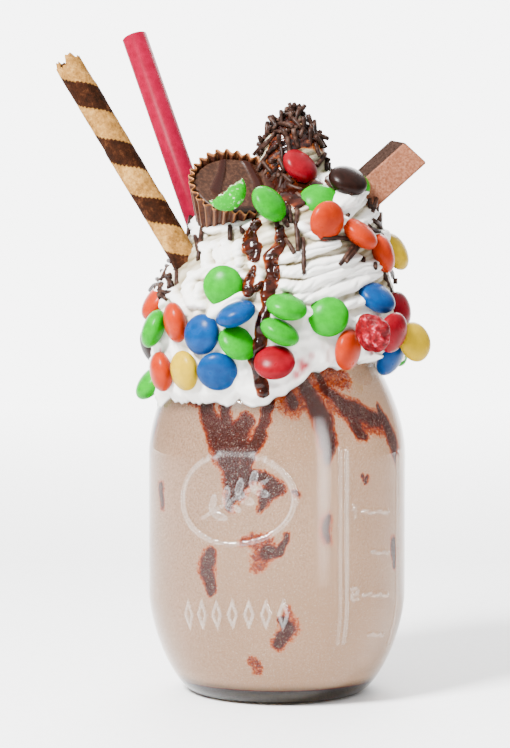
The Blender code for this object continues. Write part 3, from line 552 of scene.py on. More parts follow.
def relief(across, up):
    """Height of the raised marks at a distance round the glass and a height, 0 to 1."""
    high = np.zeros(np.broadcast(across, up).shape)
    for x1, z1, x2, z2 in SCALE_LINES:
        high = np.maximum(high, stroke(across, up, x1 * MM, z1 * MM, x2 * MM, z2 * MM, 0.65 * MM))
    x, z = across - BADGE_AT[0] * MM, up - BADGE_AT[1] * MM
    ring = np.hypot(x / (BADGE_WIDE * MM), z / (BADGE_HIGH * MM))
    high = np.maximum(high, 1 - eased(abs(ring - 1) * 16 * MM, 0.2 * MM, 0.9 * MM))
    high = np.maximum(high, stroke(x, z, -11 * MM, -6 * MM, 11 * MM, 6 * MM, 0.6 * MM))
    for side in (-1, 1):
        for step in range(4):
            root = (-8 + 4.6 * step) * MM
            lean = math.radians(28.6 + side * 48)
            along = (x - root) * math.cos(lean) + (z - root * 0.545) * math.sin(lean)
            off = (z - root * 0.545) * math.cos(lean) - (x - root) * math.sin(lean)
            leaf = np.hypot((along - 3.2 * MM) / (3.0 * MM), off / (1.25 * MM))
            high = np.maximum(high, 1 - eased(leaf, 0.6, 1.1))
    for middle in LOZENGES:
        off = abs(across - middle * MM) / (1.9 * MM) + abs(up - 23.5 * MM) / (5.2 * MM)
        high = np.maximum(high, 0.8 * eased(off, 0.45, 0.6) * (1 - eased(off, 0.9, 1.05)))
    return high


def bowl(corner, turn):
    """The jar's floor inside: a quarter of an ellipse down from the wall, then the middle."""
    radii = np.append(corner - 5 * MM * (1 - np.cos(turn)), 0.0)
    return radii, np.append(9 * MM - 4 * MM * np.sin(turn), FLOOR_Z)


def make_jar():
    """Profiles turned about Z. The outside's columns are closest together over the front, where
    the marks stand up by a part of a millimetre; the neck has a two-turn screw thread."""
    front = np.radians(np.arange(-166, -8, 0.55))
    rest = np.radians(np.arange(-8, 194, 3.5))
    turns = np.concatenate([front, rest])
    foot_r = np.array([0.0, BASE_R - 4.6 * MM, BASE_R - 3.4 * MM, BASE_R - 2.2 * MM, BASE_R - 1.0 * MM])
    foot_z = np.array([PUSH_UP, PUSH_UP, 0.3 * MM, 0.0, 0.05 * MM])
    heights = np.concatenate([
        np.linspace(0.35, 14, 22), np.linspace(14.6, 62, 90), np.linspace(62.6, 76, 24),
        np.linspace(77, 103, 22)]) * MM
    radii = jar_radius(heights)
    across, up = front_place(turns[None, :], heights[:, None])
    marks = relief(across, up)
    body = round_grid(radii[:, None] + MARK_HEIGHT * marks, heights[:, None], turns[None, :])
    neck_z = np.linspace(104, 122, 26) * MM
    climb = (neck_z[:, None] - 108 * MM) / (5.5 * MM) - turns[None, :] / (2 * np.pi)
    thread = np.clip(np.cos(2 * np.pi * climb), 0, 1) ** 1.5
    band = eased(neck_z, 107.5 * MM, 109.5 * MM) * (1 - eased(neck_z, 118.5 * MM, 120.5 * MM))
    neck_r = NECK_R + 0.4 * MM + 1.35 * MM * thread * band[:, None]
    neck = round_grid(neck_r, neck_z[:, None], turns[None, :])
    lip_r = np.array([32.4, 32.4, 32.2, 31.6, 30.7, 30.1, 30.0]) * MM
    lip_z = np.array([122.6, 124.0, 124.7, 125.0, 125.0, 124.6, 124.0]) * MM
    inner_z = np.concatenate([
        np.linspace(120, 104, 6), np.linspace(102, 76, 16), np.linspace(70, 9, 24)]) * MM
    inner_r = np.where(inner_z > NECK_Z, MOUTH_R - 0.6 * MM, jar_radius(inner_z) - WALL)
    bowl_r, bowl_z = bowl(inner_r[-1], np.linspace(0.2, 1.0, 6) * math.pi / 2)
    grid = np.concatenate([
        round_grid(foot_r, foot_z, turns), body, neck, round_grid(lip_r, lip_z, turns),
        round_grid(np.concatenate([inner_r, bowl_r]), np.concatenate([inner_z, bowl_z]), turns)])
    painted_mark_highlight = np.zeros(grid.shape[:2])
    # painted highlight: a field highest on the edges of the raised marks, where the glass turns milky
    painted_mark_highlight[5:5 + len(heights)] = np.clip(3.2 * marks * (1 - marks) + 0.35 * marks, 0, 1)
    # painted shade: the foot's field, for the glass's dark tint near the floor
    foot = 1 - eased(grid[..., 2], 3.5 * MM, 6.5 * MM)
    piece("jar_glass", [grid], glass_paint(), ["jar"], {"painted_mark_highlight": painted_mark_highlight, "foot": foot})


# Sauce on the inside of the glass, each as (distance round from the front, height, half
# width) in millimetres along one smear; a negative half width is a thin, orange smear
SMEARS = (
    ((-27.6, 92, 2.2), (-25.8, 87.5, 2.6), (-22.8, 84, 3), (-19.5, 80.5, 4), (-16.5, 75, 4.2),
     (-14.4, 69, 2.8), (-14, 63, 2.6), (-15.5, 57.8, 1.2)),
    ((-19.2, 92, 1.5), (-18, 86, 1.8), (-16.5, 80, 3)),
    ((-10.5, 84.5, 2.6), (-13.5, 80, 4.4), (-14, 76, 4)),
    ((-2.6, 92.5, 1.9), (-4.4, 84, 1.7), (-6, 79, 1.8), (-9, 75, 2.4), (-10.5, 70, 2.2), (-9.6, 66, 1.6)),
    ((-12.6, 62, 2), (-9, 68, 1.8), (-4.5, 67, 1.6), (0.4, 63.6, 2.2), (-3.4, 61.6, 1.8), (-5, 57, 0.9)),
    ((2.6, 97.5, -3.4), (5, 90.5, -4.4), (9, 92, -4.2)), ((3.6, 94.6, 1.4), (5.8, 90.4, 2)),
    ((9, 100, 2.2), (10.5, 96, 2.4), (13, 91, 3), (16, 86, 3.2), (16.8, 80, 3), (16.7, 75.5, 2.4),
     (16.4, 72.5, 1.4)), ((7, 101, -4.5), (15, 95, -5), (20, 100, -5), (28, 98, -3.5)),
    ((16, 101, 1.2), (18, 96, 1.6), (21, 93, 1.4)),
    ((20.5, 93.5, 1.4), (25, 89, 2.8), (30, 87.6, 3.2), (35, 85.8, 2.8), (40, 84.6, 2.4)),
    ((21, 91, -3.2), (30, 86, -4.6), (40, 84, -3.8)), ((27.5, 85, 2.2), (29.5, 81.2, 2.2), (31.5, 80, 1.4)),
    ((42, 88, 1.6), (45, 82, 2.8), (47, 77.5, 2.8), (48.5, 72, 1)), ((46.5, 80, -3.6), (48.5, 76, -3)),
    ((29.5, 68, 0.5), (31, 65.4, 0.6), (32.4, 67.6, 0.5)),
    ((16.8, 54.5, 1.1), (16, 50.5, 1.2), (16.6, 46.5, 0.9)), ((-10.4, 47, -1.4), (-10.5, 46.8, -1.4)),
    ((-7, 47, -2.4), (-4, 45.5, -3.4), (-5.5, 41, -3), (-6.4, 38, -1.8)),
    ((-3, 43, 2.4), (0.6, 43.2, 1.2), (2.6, 46, 0.9), (3.4, 48.6, 0.6)),
    ((-22.6, 42.6, 2), (-23.6, 38, 2.6), (-22.4, 34, 1.9), (-21.8, 30.5, 1.3)),
    ((2, 21.5, 1.2), (4, 18.5, 2.2), (2, 15.5, 2.2), (0.5, 13, 1.4)),
    ((3.5, 24.5, -1.4), (4.5, 19, -3), (1, 14, -2.6)), ((-8.2, 7.6, -1.8), (-7.2, 4.8, -2)),
    ((46.5, 46.5, 1.6), (47.5, 42.5, 2.2), (47.5, 39, 1.5)), ((-35.5, 92.5, 1.6), (-31.5, 91.5, 1.8)),
    ((6, 62.5, 0.6), (6.5, 61.8, 0.7)),
    # out of sight, round the back, in the same manner
    ((70, 93, 2.4), (72, 84, 3), (70, 76, 2.6), (72, 66, 1.4)), ((84, 92, 1.8), (82, 86, 2), (84, 79, 1)),
    ((98, 92, 2.6), (102, 83, 3.4), (101, 73, 2.8), (103, 62, 1.6)), ((118, 90, 2), (114, 84, 2.2)),
    ((88, 55, -2.6), (92, 50, -2.2)), ((110, 44, 2.2), (108, 38, 1.8)), ((64, 40, 1.8), (66, 33, 1.6)),
    ((-58, 92, 2), (-56, 83, 2.6), (-58, 75, 1.4)), ((-74, 90, 2.4), (-72, 80, 2.8), (-75, 70, 1.8)),
    ((-62, 52, 1.8), (-60, 47, 1.6)), ((-88, 40, -2.2), (-84, 35, -2)), ((-46, 64, 1.4), (-45, 58, 1.2)),
)


def smeared(across, up):
    """Thickness of sauce on the wall, 0 to 1: the nearest smear's, thinning to its edge."""
    wobble = speckle(flat(across, up), 2.2 * MM, 3) * 0.7 * MM
    wobble2 = speckle(flat(across, up), 2.6 * MM, 9) * 0.7 * MM
    fringe = np.clip(1.1 + 1.5 * speckle(flat(across, up), 7 * MM, 13), 0.4, 2.6) * MM
    across, up = across + wobble, up + wobble2
    total = np.zeros(across.shape)
    for smear in SMEARS:
        for away, half in along_lines(across, up, smear):
            most = np.where(half < 0, 0.5, 1.0)
            half = abs(half) * 1.3
            near = 0.32 * eased(-away, -half - fringe, -half * 0.9) + 0.68 * eased(-away, -half, -half * 0.5)
            total = np.maximum(total, most * near)
    return total


def make_drink():
    """The jar's inside turned about Z, reaching just into the wall, closed at both ends."""
    turns = full_turn(420)
    heights = np.concatenate([
        np.linspace(9, 76, 130), np.linspace(76.6, 102, 50), np.linspace(104, 120, 8)]) * MM
    radii = np.where(heights > NECK_Z, MOUTH_R - 0.6 * MM, jar_radius(heights) - WALL) + DRINK_OVERLAP
    bowl_r, bowl_z = bowl(radii[0], np.linspace(0.1, 1.0, 9) * math.pi / 2)
    radii = np.concatenate([bowl_r[::-1], radii, [0.0]])
    heights = np.concatenate([bowl_z[::-1] - DRINK_OVERLAP, heights, [DRINK_TOP]])
    grid = round_grid(radii, heights, turns)
    across, up = np.broadcast_arrays(*front_place(turns[None, :], heights[:, None], BODY_R - WALL))
    # painted shade: the drink's underside is painted as thick sauce, to darken the band seen through the
    # glass foot
    painted_bottom_shade = 1 - eased(np.broadcast_to(heights[:, None], up.shape), 4.9 * MM, 5.6 * MM)
    sauce = np.maximum(smeared(across, up), 0.8 * painted_bottom_shade)
    # painted light and shade: darker towards the bottom and to the right, lighter at the left where the
    # glass shows a pale reflection, with a slow random drift
    painted_shade = np.clip(0.1 + 0.3 * (1 - eased(up, 10 * MM, 60 * MM)) + 0.4 * eased(across, -36 * MM, 6 * MM)
                    + 0.25 * speckle(flat(across, up), 14 * MM, 5), 0, 1)
    piece("milkshake_drink", [grid], drink_paint(), ["milkshake"],
          {"sauce": sauce, "painted_shade": painted_shade})


# the cream


def cream_shift(z):
    """How far the heap leans sideways at a height."""
    return PEAK_SHIFT * eased(z, SHIFT_FROM, SHIFT_TO)


def cream_reach(turn, z):
    """The heap's plain radius, as in the solid: stations in height, sunk beside the cup."""
    off = abs((turn - CUP_SIDE + math.pi) % (2 * math.pi) - math.pi)
    sink = CUP_SINK * eased(-off, -CUP_SIDE_WIDTH, -CUP_SIDE_WIDTH / 3)
    fade = eased(z, SINK_FROM, SINK_TO) * (1 - eased(z, 158 * MM, 168 * MM))
    return np.interp(z + sink * fade, CREAM_STATIONS[:, 0], CREAM_STATIONS[:, 1])


def swirl(turn, z):
    """A turn with what the ridges have turned at that height taken off; they climb steadily."""
    steps = np.linspace(110, 186, 160) * MM
    wide = np.maximum(np.interp(steps, CREAM_STATIONS[:, 0], CREAM_STATIONS[:, 1]), 10 * MM)
    turned = np.gradient(steps) / (wide * math.tan(CLIMB)) * eased(steps, 116 * MM, 126 * MM)
    return turn - np.interp(z, steps, np.cumsum(turned))


# Folds of cream that the front shows: (x, z, half width) on the plane through the axis
FOLDS = (
    ((0.4, 136.4, 1.3), (6.2, 137.9, 1.7), (13.5, 140.1, 1.8), (19.3, 141.5, 1.2)),
    ((1.1, 132.8, 1.5), (7.7, 132.8, 2), (14.2, 134.3, 2.2), (21.5, 136.1, 1.8), (25.9, 137.5, 1)),
    ((1.8, 128.4, 1.4), (8.4, 127.7, 2), (14.9, 129.9, 2.3), (20.8, 132.8, 1.9), (28, 133.9, 2),
     (34.6, 136.4, 1.3)),
    ((6.2, 124.1, 1.4), (10.6, 124.8, 1.8), (17.9, 126.3, 2), (24.4, 129.2, 2.2), (31, 132.1, 1.5)),
    ((-19.6, 140.8, 1.5), (-18.5, 136, 1.1)), ((-16.3, 141.5, 1.6), (-15.6, 135.6, 1.2)),
    ((-12.7, 141.5, 1.5), (-12.7, 135.4, 1.2)), ((-22.9, 140.4, 1.5), (-22.9, 135, 1.2)),
    ((-25.1, 131.8, 1.3), (-21.4, 133.6, 1.5), (-15.6, 133.4, 1.6), (-10.5, 131.6, 1.1)),
    ((-22.9, 132.1, 1.2), (-27.3, 131.4, 1.4), (-28.7, 127.7, 1.5), (-27.3, 122.6, 1.5), (-23.6, 122, 1.2)),
    ((-25.1, 128.4, 1.1), (-25.4, 124.8, 1.1)),
    ((-21.6, 117.5, 1), (-18.9, 120.6, 1.7), (-12.7, 123.9, 1.7), (-8.3, 125.9, 1.2)),
    ((-8.3, 135, 1.2), (-5.4, 132.1, 1.4), (-6, 128, 1)),
    ((-39.2, 124.5, 3.4), (-38.6, 129.5, 3.8), (-36, 134, 2.6)),
    ((-34.5, 127, 1.5), (-31, 123, 1.4), (-29.8, 119.8, 1)),
    ((26.6, 155.4, 1.4), (23, 152.5, 1.8), (20.8, 148.8, 1.4)),
    ((29.6, 151, 1.6), (26, 147.5, 1.8), (22.5, 146.4, 1.2)),
    ((7.4, 147.4, 1.3), (12.2, 144.6, 1.7), (16.6, 144.6, 1.3)),
    ((-7.3, 147.6, 1.2), (-14, 147.8, 1.5), (-21.4, 146, 1.6)),
    ((-25.6, 156, 1.6), (-25.2, 149, 2.2), (-25, 144, 1.4)),
    ((31, 105.4, 1.5), (33.6, 103.6, 2.2), (36, 103.6, 1.4)),
    ((30, 142, 1.5), (34, 144.5, 1.6), (36.4, 140, 1.2)),
    ((22, 122, 1.3), (27.5, 124.4, 1.6), (33, 126.6, 1.2)),
    ((2, 120.8, 1.1), (6, 121.2, 1.5), (11, 119.6, 1.2)),
    ((12, 160.5, 2.2), (18.5, 161.5, 2.6), (24, 161, 2)),
)

# Cushions of cream behind buttons that stand off the heap: x, z, radius and height
CUSHIONS = ((27.6, 114.8, 4.4, 7.0), (20.5, 157.5, 6.0, 7.0))


def folded(x, z):
    """Height of the folds at a place on the plane through the axis: a half-ellipse across each,
    and a half-ellipsoid on each cushion."""
    high = np.zeros(x.shape)
    x = x + 0.5 * MM * speckle(flat(x, z), 4 * MM, 15)
    z = z + 0.5 * MM * speckle(flat(x, z), 4 * MM, 16)
    for fold in FOLDS:
        for away, half in along_lines(x, z, fold):
            high = np.maximum(high, dome(away / (1.2 * half)) * np.minimum(half * 1.6, 3 * MM))
    for across, up, wide, tall in CUSHIONS:
        away = np.hypot(x - across * MM, z - up * MM) / (wide * MM)
        high = np.maximum(high, dome(away) * tall * MM)
    return high


def cream_detail(turn, z):
    """What stands out of the plain radius: piped ridges with sharp valleys that wander, finer
    flutes on them, and lumps. Ridges are |sin| raised to a low power."""
    turn, z = np.broadcast_arrays(turn, z)
    plain = cream_reach(turn, z)
    spot = np.stack([plain * np.cos(turn), plain * np.sin(turn), z], -1)
    whipped = eased(z, 119 * MM, 129 * MM)
    scale = np.clip(plain / (20 * MM), 0.25, 1)
    wander = 0.55 * speckle(spot, 13 * MM, 1) + 0.22 * speckle(spot, 5 * MM, 2)
    along = swirl(turn, z) * RIDGES / (2 * np.pi) + wander
    ridge = abs(np.sin(math.pi * along)) ** 0.6 - 0.7
    flute = abs(np.sin(math.pi * along * 3 + 0.6 * wander)) ** 0.8 - 0.6
    strength = 0.75 + 0.45 * speckle(spot, 17 * MM, 4)
    high = whipped * scale * (2.5 * ridge * strength + 0.8 * flute)
    lumps = (0.9 * speckle(spot, 8 * MM, 5) + 0.85 * speckle(spot, 3.4 * MM, 6)
             + 0.42 * speckle(spot, 1.6 * MM, 7))
    high = (high + lumps * (1.0 - 0.3 * whipped) * scale - 0.3) * MM
    places = seen_at(spot[..., 0] + cream_shift(z), spot[..., 1], z)
    front = folded(*places) - 1.0 * MM * whipped + high * (1 - 0.5 * whipped)
    return np.where(spot[..., 1] < 12 * MM, front, high)


def skirt_height(turn):
    """The skirt's lower edge: low at the left and front, higher at the right, ragged."""
    right = 0.5 + 0.5 * np.cos(turn + 0.35)
    wave = 0.8 * np.sin(5 * turn + 0.8) + 0.6 * np.sin(9 * turn)
    spot = np.stack([np.cos(turn), np.sin(turn), turn * 0], -1) * 40 * MM
    ragged = 1.3 * speckle(spot, 4 * MM, 11) + 0.8 * speckle(spot, 1.7 * MM, 12)
    raised = 3.6 * eased(np.cos(turn + 0.98), 0.72, 1.0)
    return (92.0 + 11.5 * right**4 + raised + wave + ragged) * MM


def sight_point(x, z, y):
    """The point at depth y that the eye sees at (x, z) of the plane through the axis."""
    aim = np.stack([x, np.zeros_like(x), z], -1) - EYE
    return EYE + aim * ((y - EYE[1]) / aim[..., 1])[..., None]


def on_cream(x, z):
    """The first point of the cream that the eye meets at each (x, z), in metres, found by
    marching along the line of sight and interpolating where it goes in."""
    x, z = np.asarray(x, float), np.asarray(z, float)
    depths = np.arange(-52, 12, 0.3) * MM
    spots = sight_point(x[..., None], z[..., None], np.broadcast_to(depths, x.shape + depths.shape))
    across = spots[..., 0] - cream_shift(spots[..., 2])
    turn = np.arctan2(spots[..., 1], across)
    gap = np.hypot(across, spots[..., 1]) - cream_reach(turn, spots[..., 2])
    gap = gap - cream_detail(turn, spots[..., 2])
    inside = gap <= 0
    first = np.where(inside.any(-1), inside.argmax(-1), len(depths) - 1)
    before = np.maximum(first - 1, 0)
    late, early = (np.take_along_axis(gap, k[..., None], -1)[..., 0] for k in (first, before))
    share = np.clip(early / np.where(abs(early - late) < 1e-9, 1, early - late), 0, 1)
    return sight_point(x, z, depths[before] + share * (depths[first] - depths[before]))


# Stains on the cream: field, x, z and radius in millimetres on the plane through the axis
STAINS = (
    ("pink", 8.5, 103, 3.2), ("pink", 6, 100, 2), ("pink", 30, 108.5, 3.4), ("pink", -37, 106.5, 2.4),
    ("green", 36, 106, 2.2), ("green", 32, 105.5, 1.6), ("pink", 34.5, 112, 3), ("pink", 11, 106, 1.6),
)


def make_cream():
    """The heap: the plain radius and its detail over a grid of turns and heights, closed
    underneath along the jar's shoulder, neck and mouth."""
    turns = full_turn(400)[None, :]
    share = np.linspace(0, 1, 205)[:, None] ** 0.92
    low = skirt_height(turns)
    heights = low + (PEAK_Z - 0.2 * MM - low) * share
    detail = cream_detail(turns, heights)
    radii = cream_reach(turns, heights) + detail
    lip = eased(heights - low, 0, 3.5 * MM) ** 0.5
    glass = jar_radius(low) - 0.2 * MM
    least = np.where(heights < RIM_Z, jar_radius(heights) + 0.6 * MM, 0.15 * MM)
    radii = glass + (np.maximum(radii, least) - glass) * lip
    shift = cream_shift(heights)
    outside = np.stack([radii * np.cos(turns) + shift, radii * np.sin(turns), heights], -1)
    ones = np.ones_like(turns)
    mouth, thread = MOUTH_R - 0.3 * MM, THREAD_R + 0.1 * MM
    under_r = np.concatenate([r * ones for r in (0, mouth, mouth, thread, thread)] + [glass - 0.2 * MM])
    under_z = np.concatenate([z * MM * ones for z in (119.7, 119.7, 125.1, 125.1, 106)] + [low + 0.6 * MM])
    under = np.stack([under_r * np.cos(turns), under_r * np.sin(turns), under_z], -1)
    top = np.broadcast_to(np.array([PEAK_SHIFT, 0, PEAK_Z]), (1, turns.size, 3))
    grid = np.concatenate([under, outside, top])
    detail = np.concatenate([np.zeros(under.shape[:2]), detail, np.zeros((1, turns.size))])
    # painted shade: highest in the valleys of the cream's detail, above the skirt
    painted_hollow_shade = (1 - eased(detail, -1.5 * MM, 0.5 * MM)) * eased(grid[..., 2], 112 * MM, 124 * MM)
    sauce = eased(grid[..., 2], 158 * MM, 163 * MM) * (0.9 + 0.5 * speckle(grid, 4 * MM, 21))
    bare = eased(grid[..., 0], 8 * MM, 12 * MM) * (1 - eased(grid[..., 2], 168 * MM, 175 * MM))
    bare = np.maximum(bare, eased(speckle(grid, 6 * MM, 23), 0.15, 0.5))
    fields = {"painted_hollow_shade": painted_hollow_shade, "sauce": np.clip(sauce * (1 - bare), 0, 1.3)}
    for name in ("pink", "green"):
        fields[name] = np.zeros(grid.shape[:2])
    for name, x, z, wide in STAINS:
        spot = on_cream(np.array([x * MM]), np.array([z * MM]))[0]
        away = np.linalg.norm((grid - spot) * np.array([1, 1, 0.8]), axis=-1)
        fields[name] = np.maximum(fields[name], 0.95 * eased(-away, -wide * MM, -wide * MM * 0.2)
                                  * (0.7 + 0.5 * speckle(grid, 1.6 * MM, 25)))
    piece("cream_heap", [grid], cream_paint(), ["whipped_cream"], fields)


# sauce and vermicelli

# Runs of sauce down the front: x, z and half width in millimetres
RUNS = (
    ((-5.4, 150, 1.2), (-8.2, 145.3, 1.6), (-8.6, 141.5, 2.6), (-7.3, 139, 2.2), (-7.6, 135.2, 1.3)),
    ((0.6, 148, 1.4), (1.3, 141.5, 1.4), (-2.2, 137, 2), (-1, 131.5, 1.7), (-3, 126.5, 1.9),
     (-3.2, 121.5, 1.4), (-5.2, 116, 1.5), (-4.8, 111, 2), (-8.2, 106.6, 1.5), (-6.4, 101.5, 1.4),
     (-4.6, 96, 2.1), (-4.2, 92.2, 1.6)),
    ((-6.8, 135.4, 0.7), (-8.4, 131, 1.2), (-9.4, 127.5, 1.9), (-8.4, 124.2, 1)),
    ((-11.5, 126, 0.6), (-7, 127.2, 1), (-3.5, 129.5, 1)),
)
# Pools of sauce where the cup, the peak and the finger meet
POOLS = (
    ((-3, 164.5, 2.6), (1, 160.5, 3.4), (5.5, 157, 3), (8.5, 153, 1.8)),
    ((6.5, 162, 2.2), (11, 159.5, 2.6), (15, 158, 1.6)), ((-1, 157, 2), (2, 153, 1.6), (3.6, 149, 1.2)),
    ((15, 163, 1.2), (18.5, 160, 1.4), (24, 163, 1)),
)


def ribbon(route, thick, seed):
    """A strip of sauce on the cream: along a smoothed route, each cross-section runs over the
    surface and is lifted by a half-ellipse, sinking at both edges."""
    route = np.array(route) * MM
    spans = np.concatenate([[0], np.cumsum(np.hypot(*np.diff(route[:, :2], axis=0).T))])
    steps = np.linspace(0, spans[-1], max(16, int(spans[-1] / (0.7 * MM))))
    x, z, half = (np.interp(steps, spans, route[:, k]) for k in range(3))
    kernel = np.array([1, 2, 3, 2, 1]) / 9
    x, z, half = (np.convolve(np.pad(v, 2, "edge"), kernel, "valid") for v in (x, z, half))
    taper = np.sqrt(np.clip(np.minimum(steps, spans[-1] - steps) / (1.5 * MM), 0, 1)) * 0.98 + 0.02
    half = 1.3 * half * taper * (1 + 0.28 * speckle(flat(x, z), 2.0 * MM, seed))
    dx, dz = np.gradient(x), np.gradient(z)
    long = np.hypot(dx, dz)
    across = np.linspace(-1, 1, 15)
    px = x[:, None] - (dz / long)[:, None] * across * half[:, None]
    pz = z[:, None] + (dx / long)[:, None] * across * half[:, None]
    base = on_cream(px, pz)
    crown = dome(across)[None, :] * np.minimum(half / (1.6 * MM), 1)[:, None]
    toward = unit(EYE - base)
    lifted = base + toward * ((crown * thick - 0.12) * MM)[..., None]
    under = base - toward * (0.9 * MM)
    ring = np.concatenate([lifted, under[:, ::-1]], 1)
    ring = np.concatenate([ring[:1].mean(1, keepdims=True).repeat(ring.shape[1], 1), ring,
                           ring[-1:].mean(1, keepdims=True).repeat(ring.shape[1], 1)])
    cover = np.concatenate([crown, crown * 0], 1)
    cover = np.concatenate([cover[:1] * 0, cover, cover[-1:] * 0])
    return ring, cover


def make_sauce():
    rings, covers = [], []
    for routes, thick, seed in ((RUNS, 1.1, 30), (POOLS, 0.9, 50)):
        for number, route in enumerate(routes):
            ring, cover = ribbon(route, thick, seed + number)
            rings.append(ring)
            covers.append(cover.ravel())
    piece("sauce_runs", rings, sauce_paint(), fields={"thick": np.concatenate(covers)})


# Strands of vermicelli away from the peak: the two ends as x and z in millimetres
STRANDS = (
    (-23.6, 147.8, -25, 136.4), (-14.9, 147.3, -14.9, 142.7), (-11.3, 147.3, -10.9, 144.8),
    (5.9, 148.5, 6.7, 139.3), (8.1, 143.4, 8.4, 132), (2.5, 143.1, 5.4, 138.6), (14.3, 143.4, 24.4, 142.7),
    (26.3, 143.7, 20, 135), (27.6, 143.1, 21.9, 135.8), (22.2, 150.4, 29.5, 154.6),
    (29.2, 158.9, 29.5, 152.6), (31.7, 155.4, 31.7, 149.4), (32.7, 151, 33.3, 143.7),
    (28.8, 147.3, 32.3, 145.3), (31.7, 140.2, 36.1, 126.3), (27.3, 137, 27.3, 135.8),
    (31.1, 135.5, 31.1, 133.6), (37.4, 130.7, 37.4, 128.8), (26.6, 115.2, 27.6, 113.6),
    (21.2, 112.8, 21.2, 109.8), (-34.4, 134.5, -36.5, 130.1), (-31.8, 133.2, -31.7, 128.8),
    (-34, 132, -34, 130.4), (-34.2, 129.4, -34.2, 127.5), (-40.2, 126.9, -37.1, 128.2),
    (-37.1, 129.1, -37.1, 125.9), (-37.1, 125.6, -34.9, 124), (-34.4, 136.2, -33.1, 135.5),
    (0.5, 152, 3.5, 147), (3.8, 153.5, 4.4, 148.2), (6.4, 152.5, 6, 147), (-0.5, 150.4, 0.2, 146.8),
    (-36.5, 133, -33.5, 129.5), (-37.5, 130, -34.5, 131.5), (-35, 134.6, -32, 133.4),
    (-38.5, 128, -37, 124.5), (-37.5, 127, -33.8, 126.2), (-32.2, 136, -31.6, 132), (-35, 131.2, -33, 128),
    (-38, 130.4, -36.2, 128.6), (30.4, 149, 33, 146.2), (31.4, 157, 30.2, 151.6), (-26, 144, -25, 139.5),
    (33.8, 133.6, 36.6, 131), (0.5, 168.5, 2.4, 164), (2, 166, 6, 163), (1.2, 163.6, 5, 160.6),
    (3.2, 169.5, 7, 166.4), (3, 160.4, 8, 158.4), (5.6, 164, 8.6, 160.6), (1, 158.6, 4.6, 155.6),
    (12.6, 155.8, 17, 157.6), (15.4, 161.4, 18.8, 158.4), (6, 157.4, 10.6, 154.6),
    (-2.6, 156.2, 1.6, 158.6), (23, 157, 27.6, 158.6),
)


def strand_grid(start, end, seed, thick=0.8):
    """A short rod with six sides, a slight bow, and ends drawn in: radius along it is
    thick x (1 - s^10)."""
    start, end = np.asarray(start), np.asarray(end)
    share = np.array([0.0, 0.0, 0.25, 0.5, 0.75, 1.0, 1.0])
    frame_rows = axes_for(end - start, (0.31, -0.7, 0.64))
    bow = math.sin(seed * 12.9) * 0.05 * np.linalg.norm(end - start)
    line = start + (end - start) * share[:, None] + frame_rows[0] * (bow * np.sin(np.pi * share))[:, None]
    wide = np.array([0.0, 0.9, 1.0, 0.95 + 0.08 * math.sin(seed), 1.0, 0.88, 0.0]) * thick * MM
    turns = full_turn(6) + seed
    ring = np.cos(turns)[:, None] * frame_rows[0] + np.sin(turns)[:, None] * frame_rows[1]
    return line[:, None, :] + ring[None] * wide[:, None, None]


def heap_reach(turn, height):
    """The heap's radius, with its detail, at one turn and height."""
    return float(cream_reach(turn, height) + cream_detail(np.array(turn), np.array(height)))


def make_vermicelli():
    """Strands listed one by one on the front, by a seeded rule over the peak and down the back."""
    draw = np.random.default_rng(11)
    grids = []
    ends = np.array(STRANDS) * MM
    starts, stops = on_cream(ends[:, 0], ends[:, 1]), on_cream(ends[:, 2], ends[:, 3])
    for number, (start, stop) in enumerate(zip(starts, stops)):
        lift = unit(EYE - start) * 0.45 * MM
        grids.append(strand_grid(start + lift, stop + lift, number))
    count = 150
    for number in range(count):
        turn = 2 * math.pi * (number * GOLDEN % 1)
        height = (159 + 25 * (number + 0.5) / count) * MM
        if math.cos(turn) > 0.1 and math.sin(turn) < 0.3 and height < 173 * MM and draw.random() < 0.75:
            continue
        reach = heap_reach(turn, height)
        out = np.array([math.cos(turn), math.sin(turn), 0.35])
        spot = np.array([cream_shift(height), 0, height]) + out * np.array([reach, reach, 0])
        out = unit(out)
        spot = spot + out * 0.4 * MM
        lean = draw.normal(0, 0.75, 3)
        lean = unit(lean - lean @ out * out + np.array([0, 0, 0.45]) + out * draw.uniform(-0.12, 0.14))
        half = draw.uniform(1.8, 3.8) * MM
        thick = draw.uniform(0.65, 0.9)
        grids.append(strand_grid(spot - lean * half * 0.8, spot + lean * half, number, thick))
    for number in range(22):
        turn = math.pi * (0.04 + 0.92 * (number * GOLDEN % 1))
        height = (126 + 28 * draw.random()) * MM
        reach = heap_reach(turn, height) + 0.3 * MM
        out = np.array([math.cos(turn), math.sin(turn), 0])
        spot = np.array([cream_shift(height), 0, height]) + out * reach
        lean = draw.normal(0, 1, 3)
        lean = unit(lean - lean @ out * out)
        half = draw.uniform(3, 5) * MM
        grids.append(strand_grid(spot - lean * half, spot + lean * half, number))
    piece("vermicelli", grids, vermicelli_paint())


# buttons


def node_points(name):
    """A solid's vertices, one to a row."""
    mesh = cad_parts[name].data
    points = np.empty(len(mesh.vertices) * 3)
    mesh.vertices.foreach_get("co", points)
    return points.reshape(-1, 3)


def button_frame(name):
    """A solid button's middle and axes: the axis is the direction it is thinnest in."""
    points = np.unique(np.round(node_points(name), 6), axis=0)
    middle = (points.max(0) + points.min(0)) / 2 if name.startswith("broken") else points.mean(0)
    ways = np.linalg.eigh(np.cov((points - middle).T))[1]
    axis = ways[:, 0] * (-1 if ways[1, 0] > 0 else 1)
    return middle, axes_for(axis, (0.3, -0.1, 0.95))


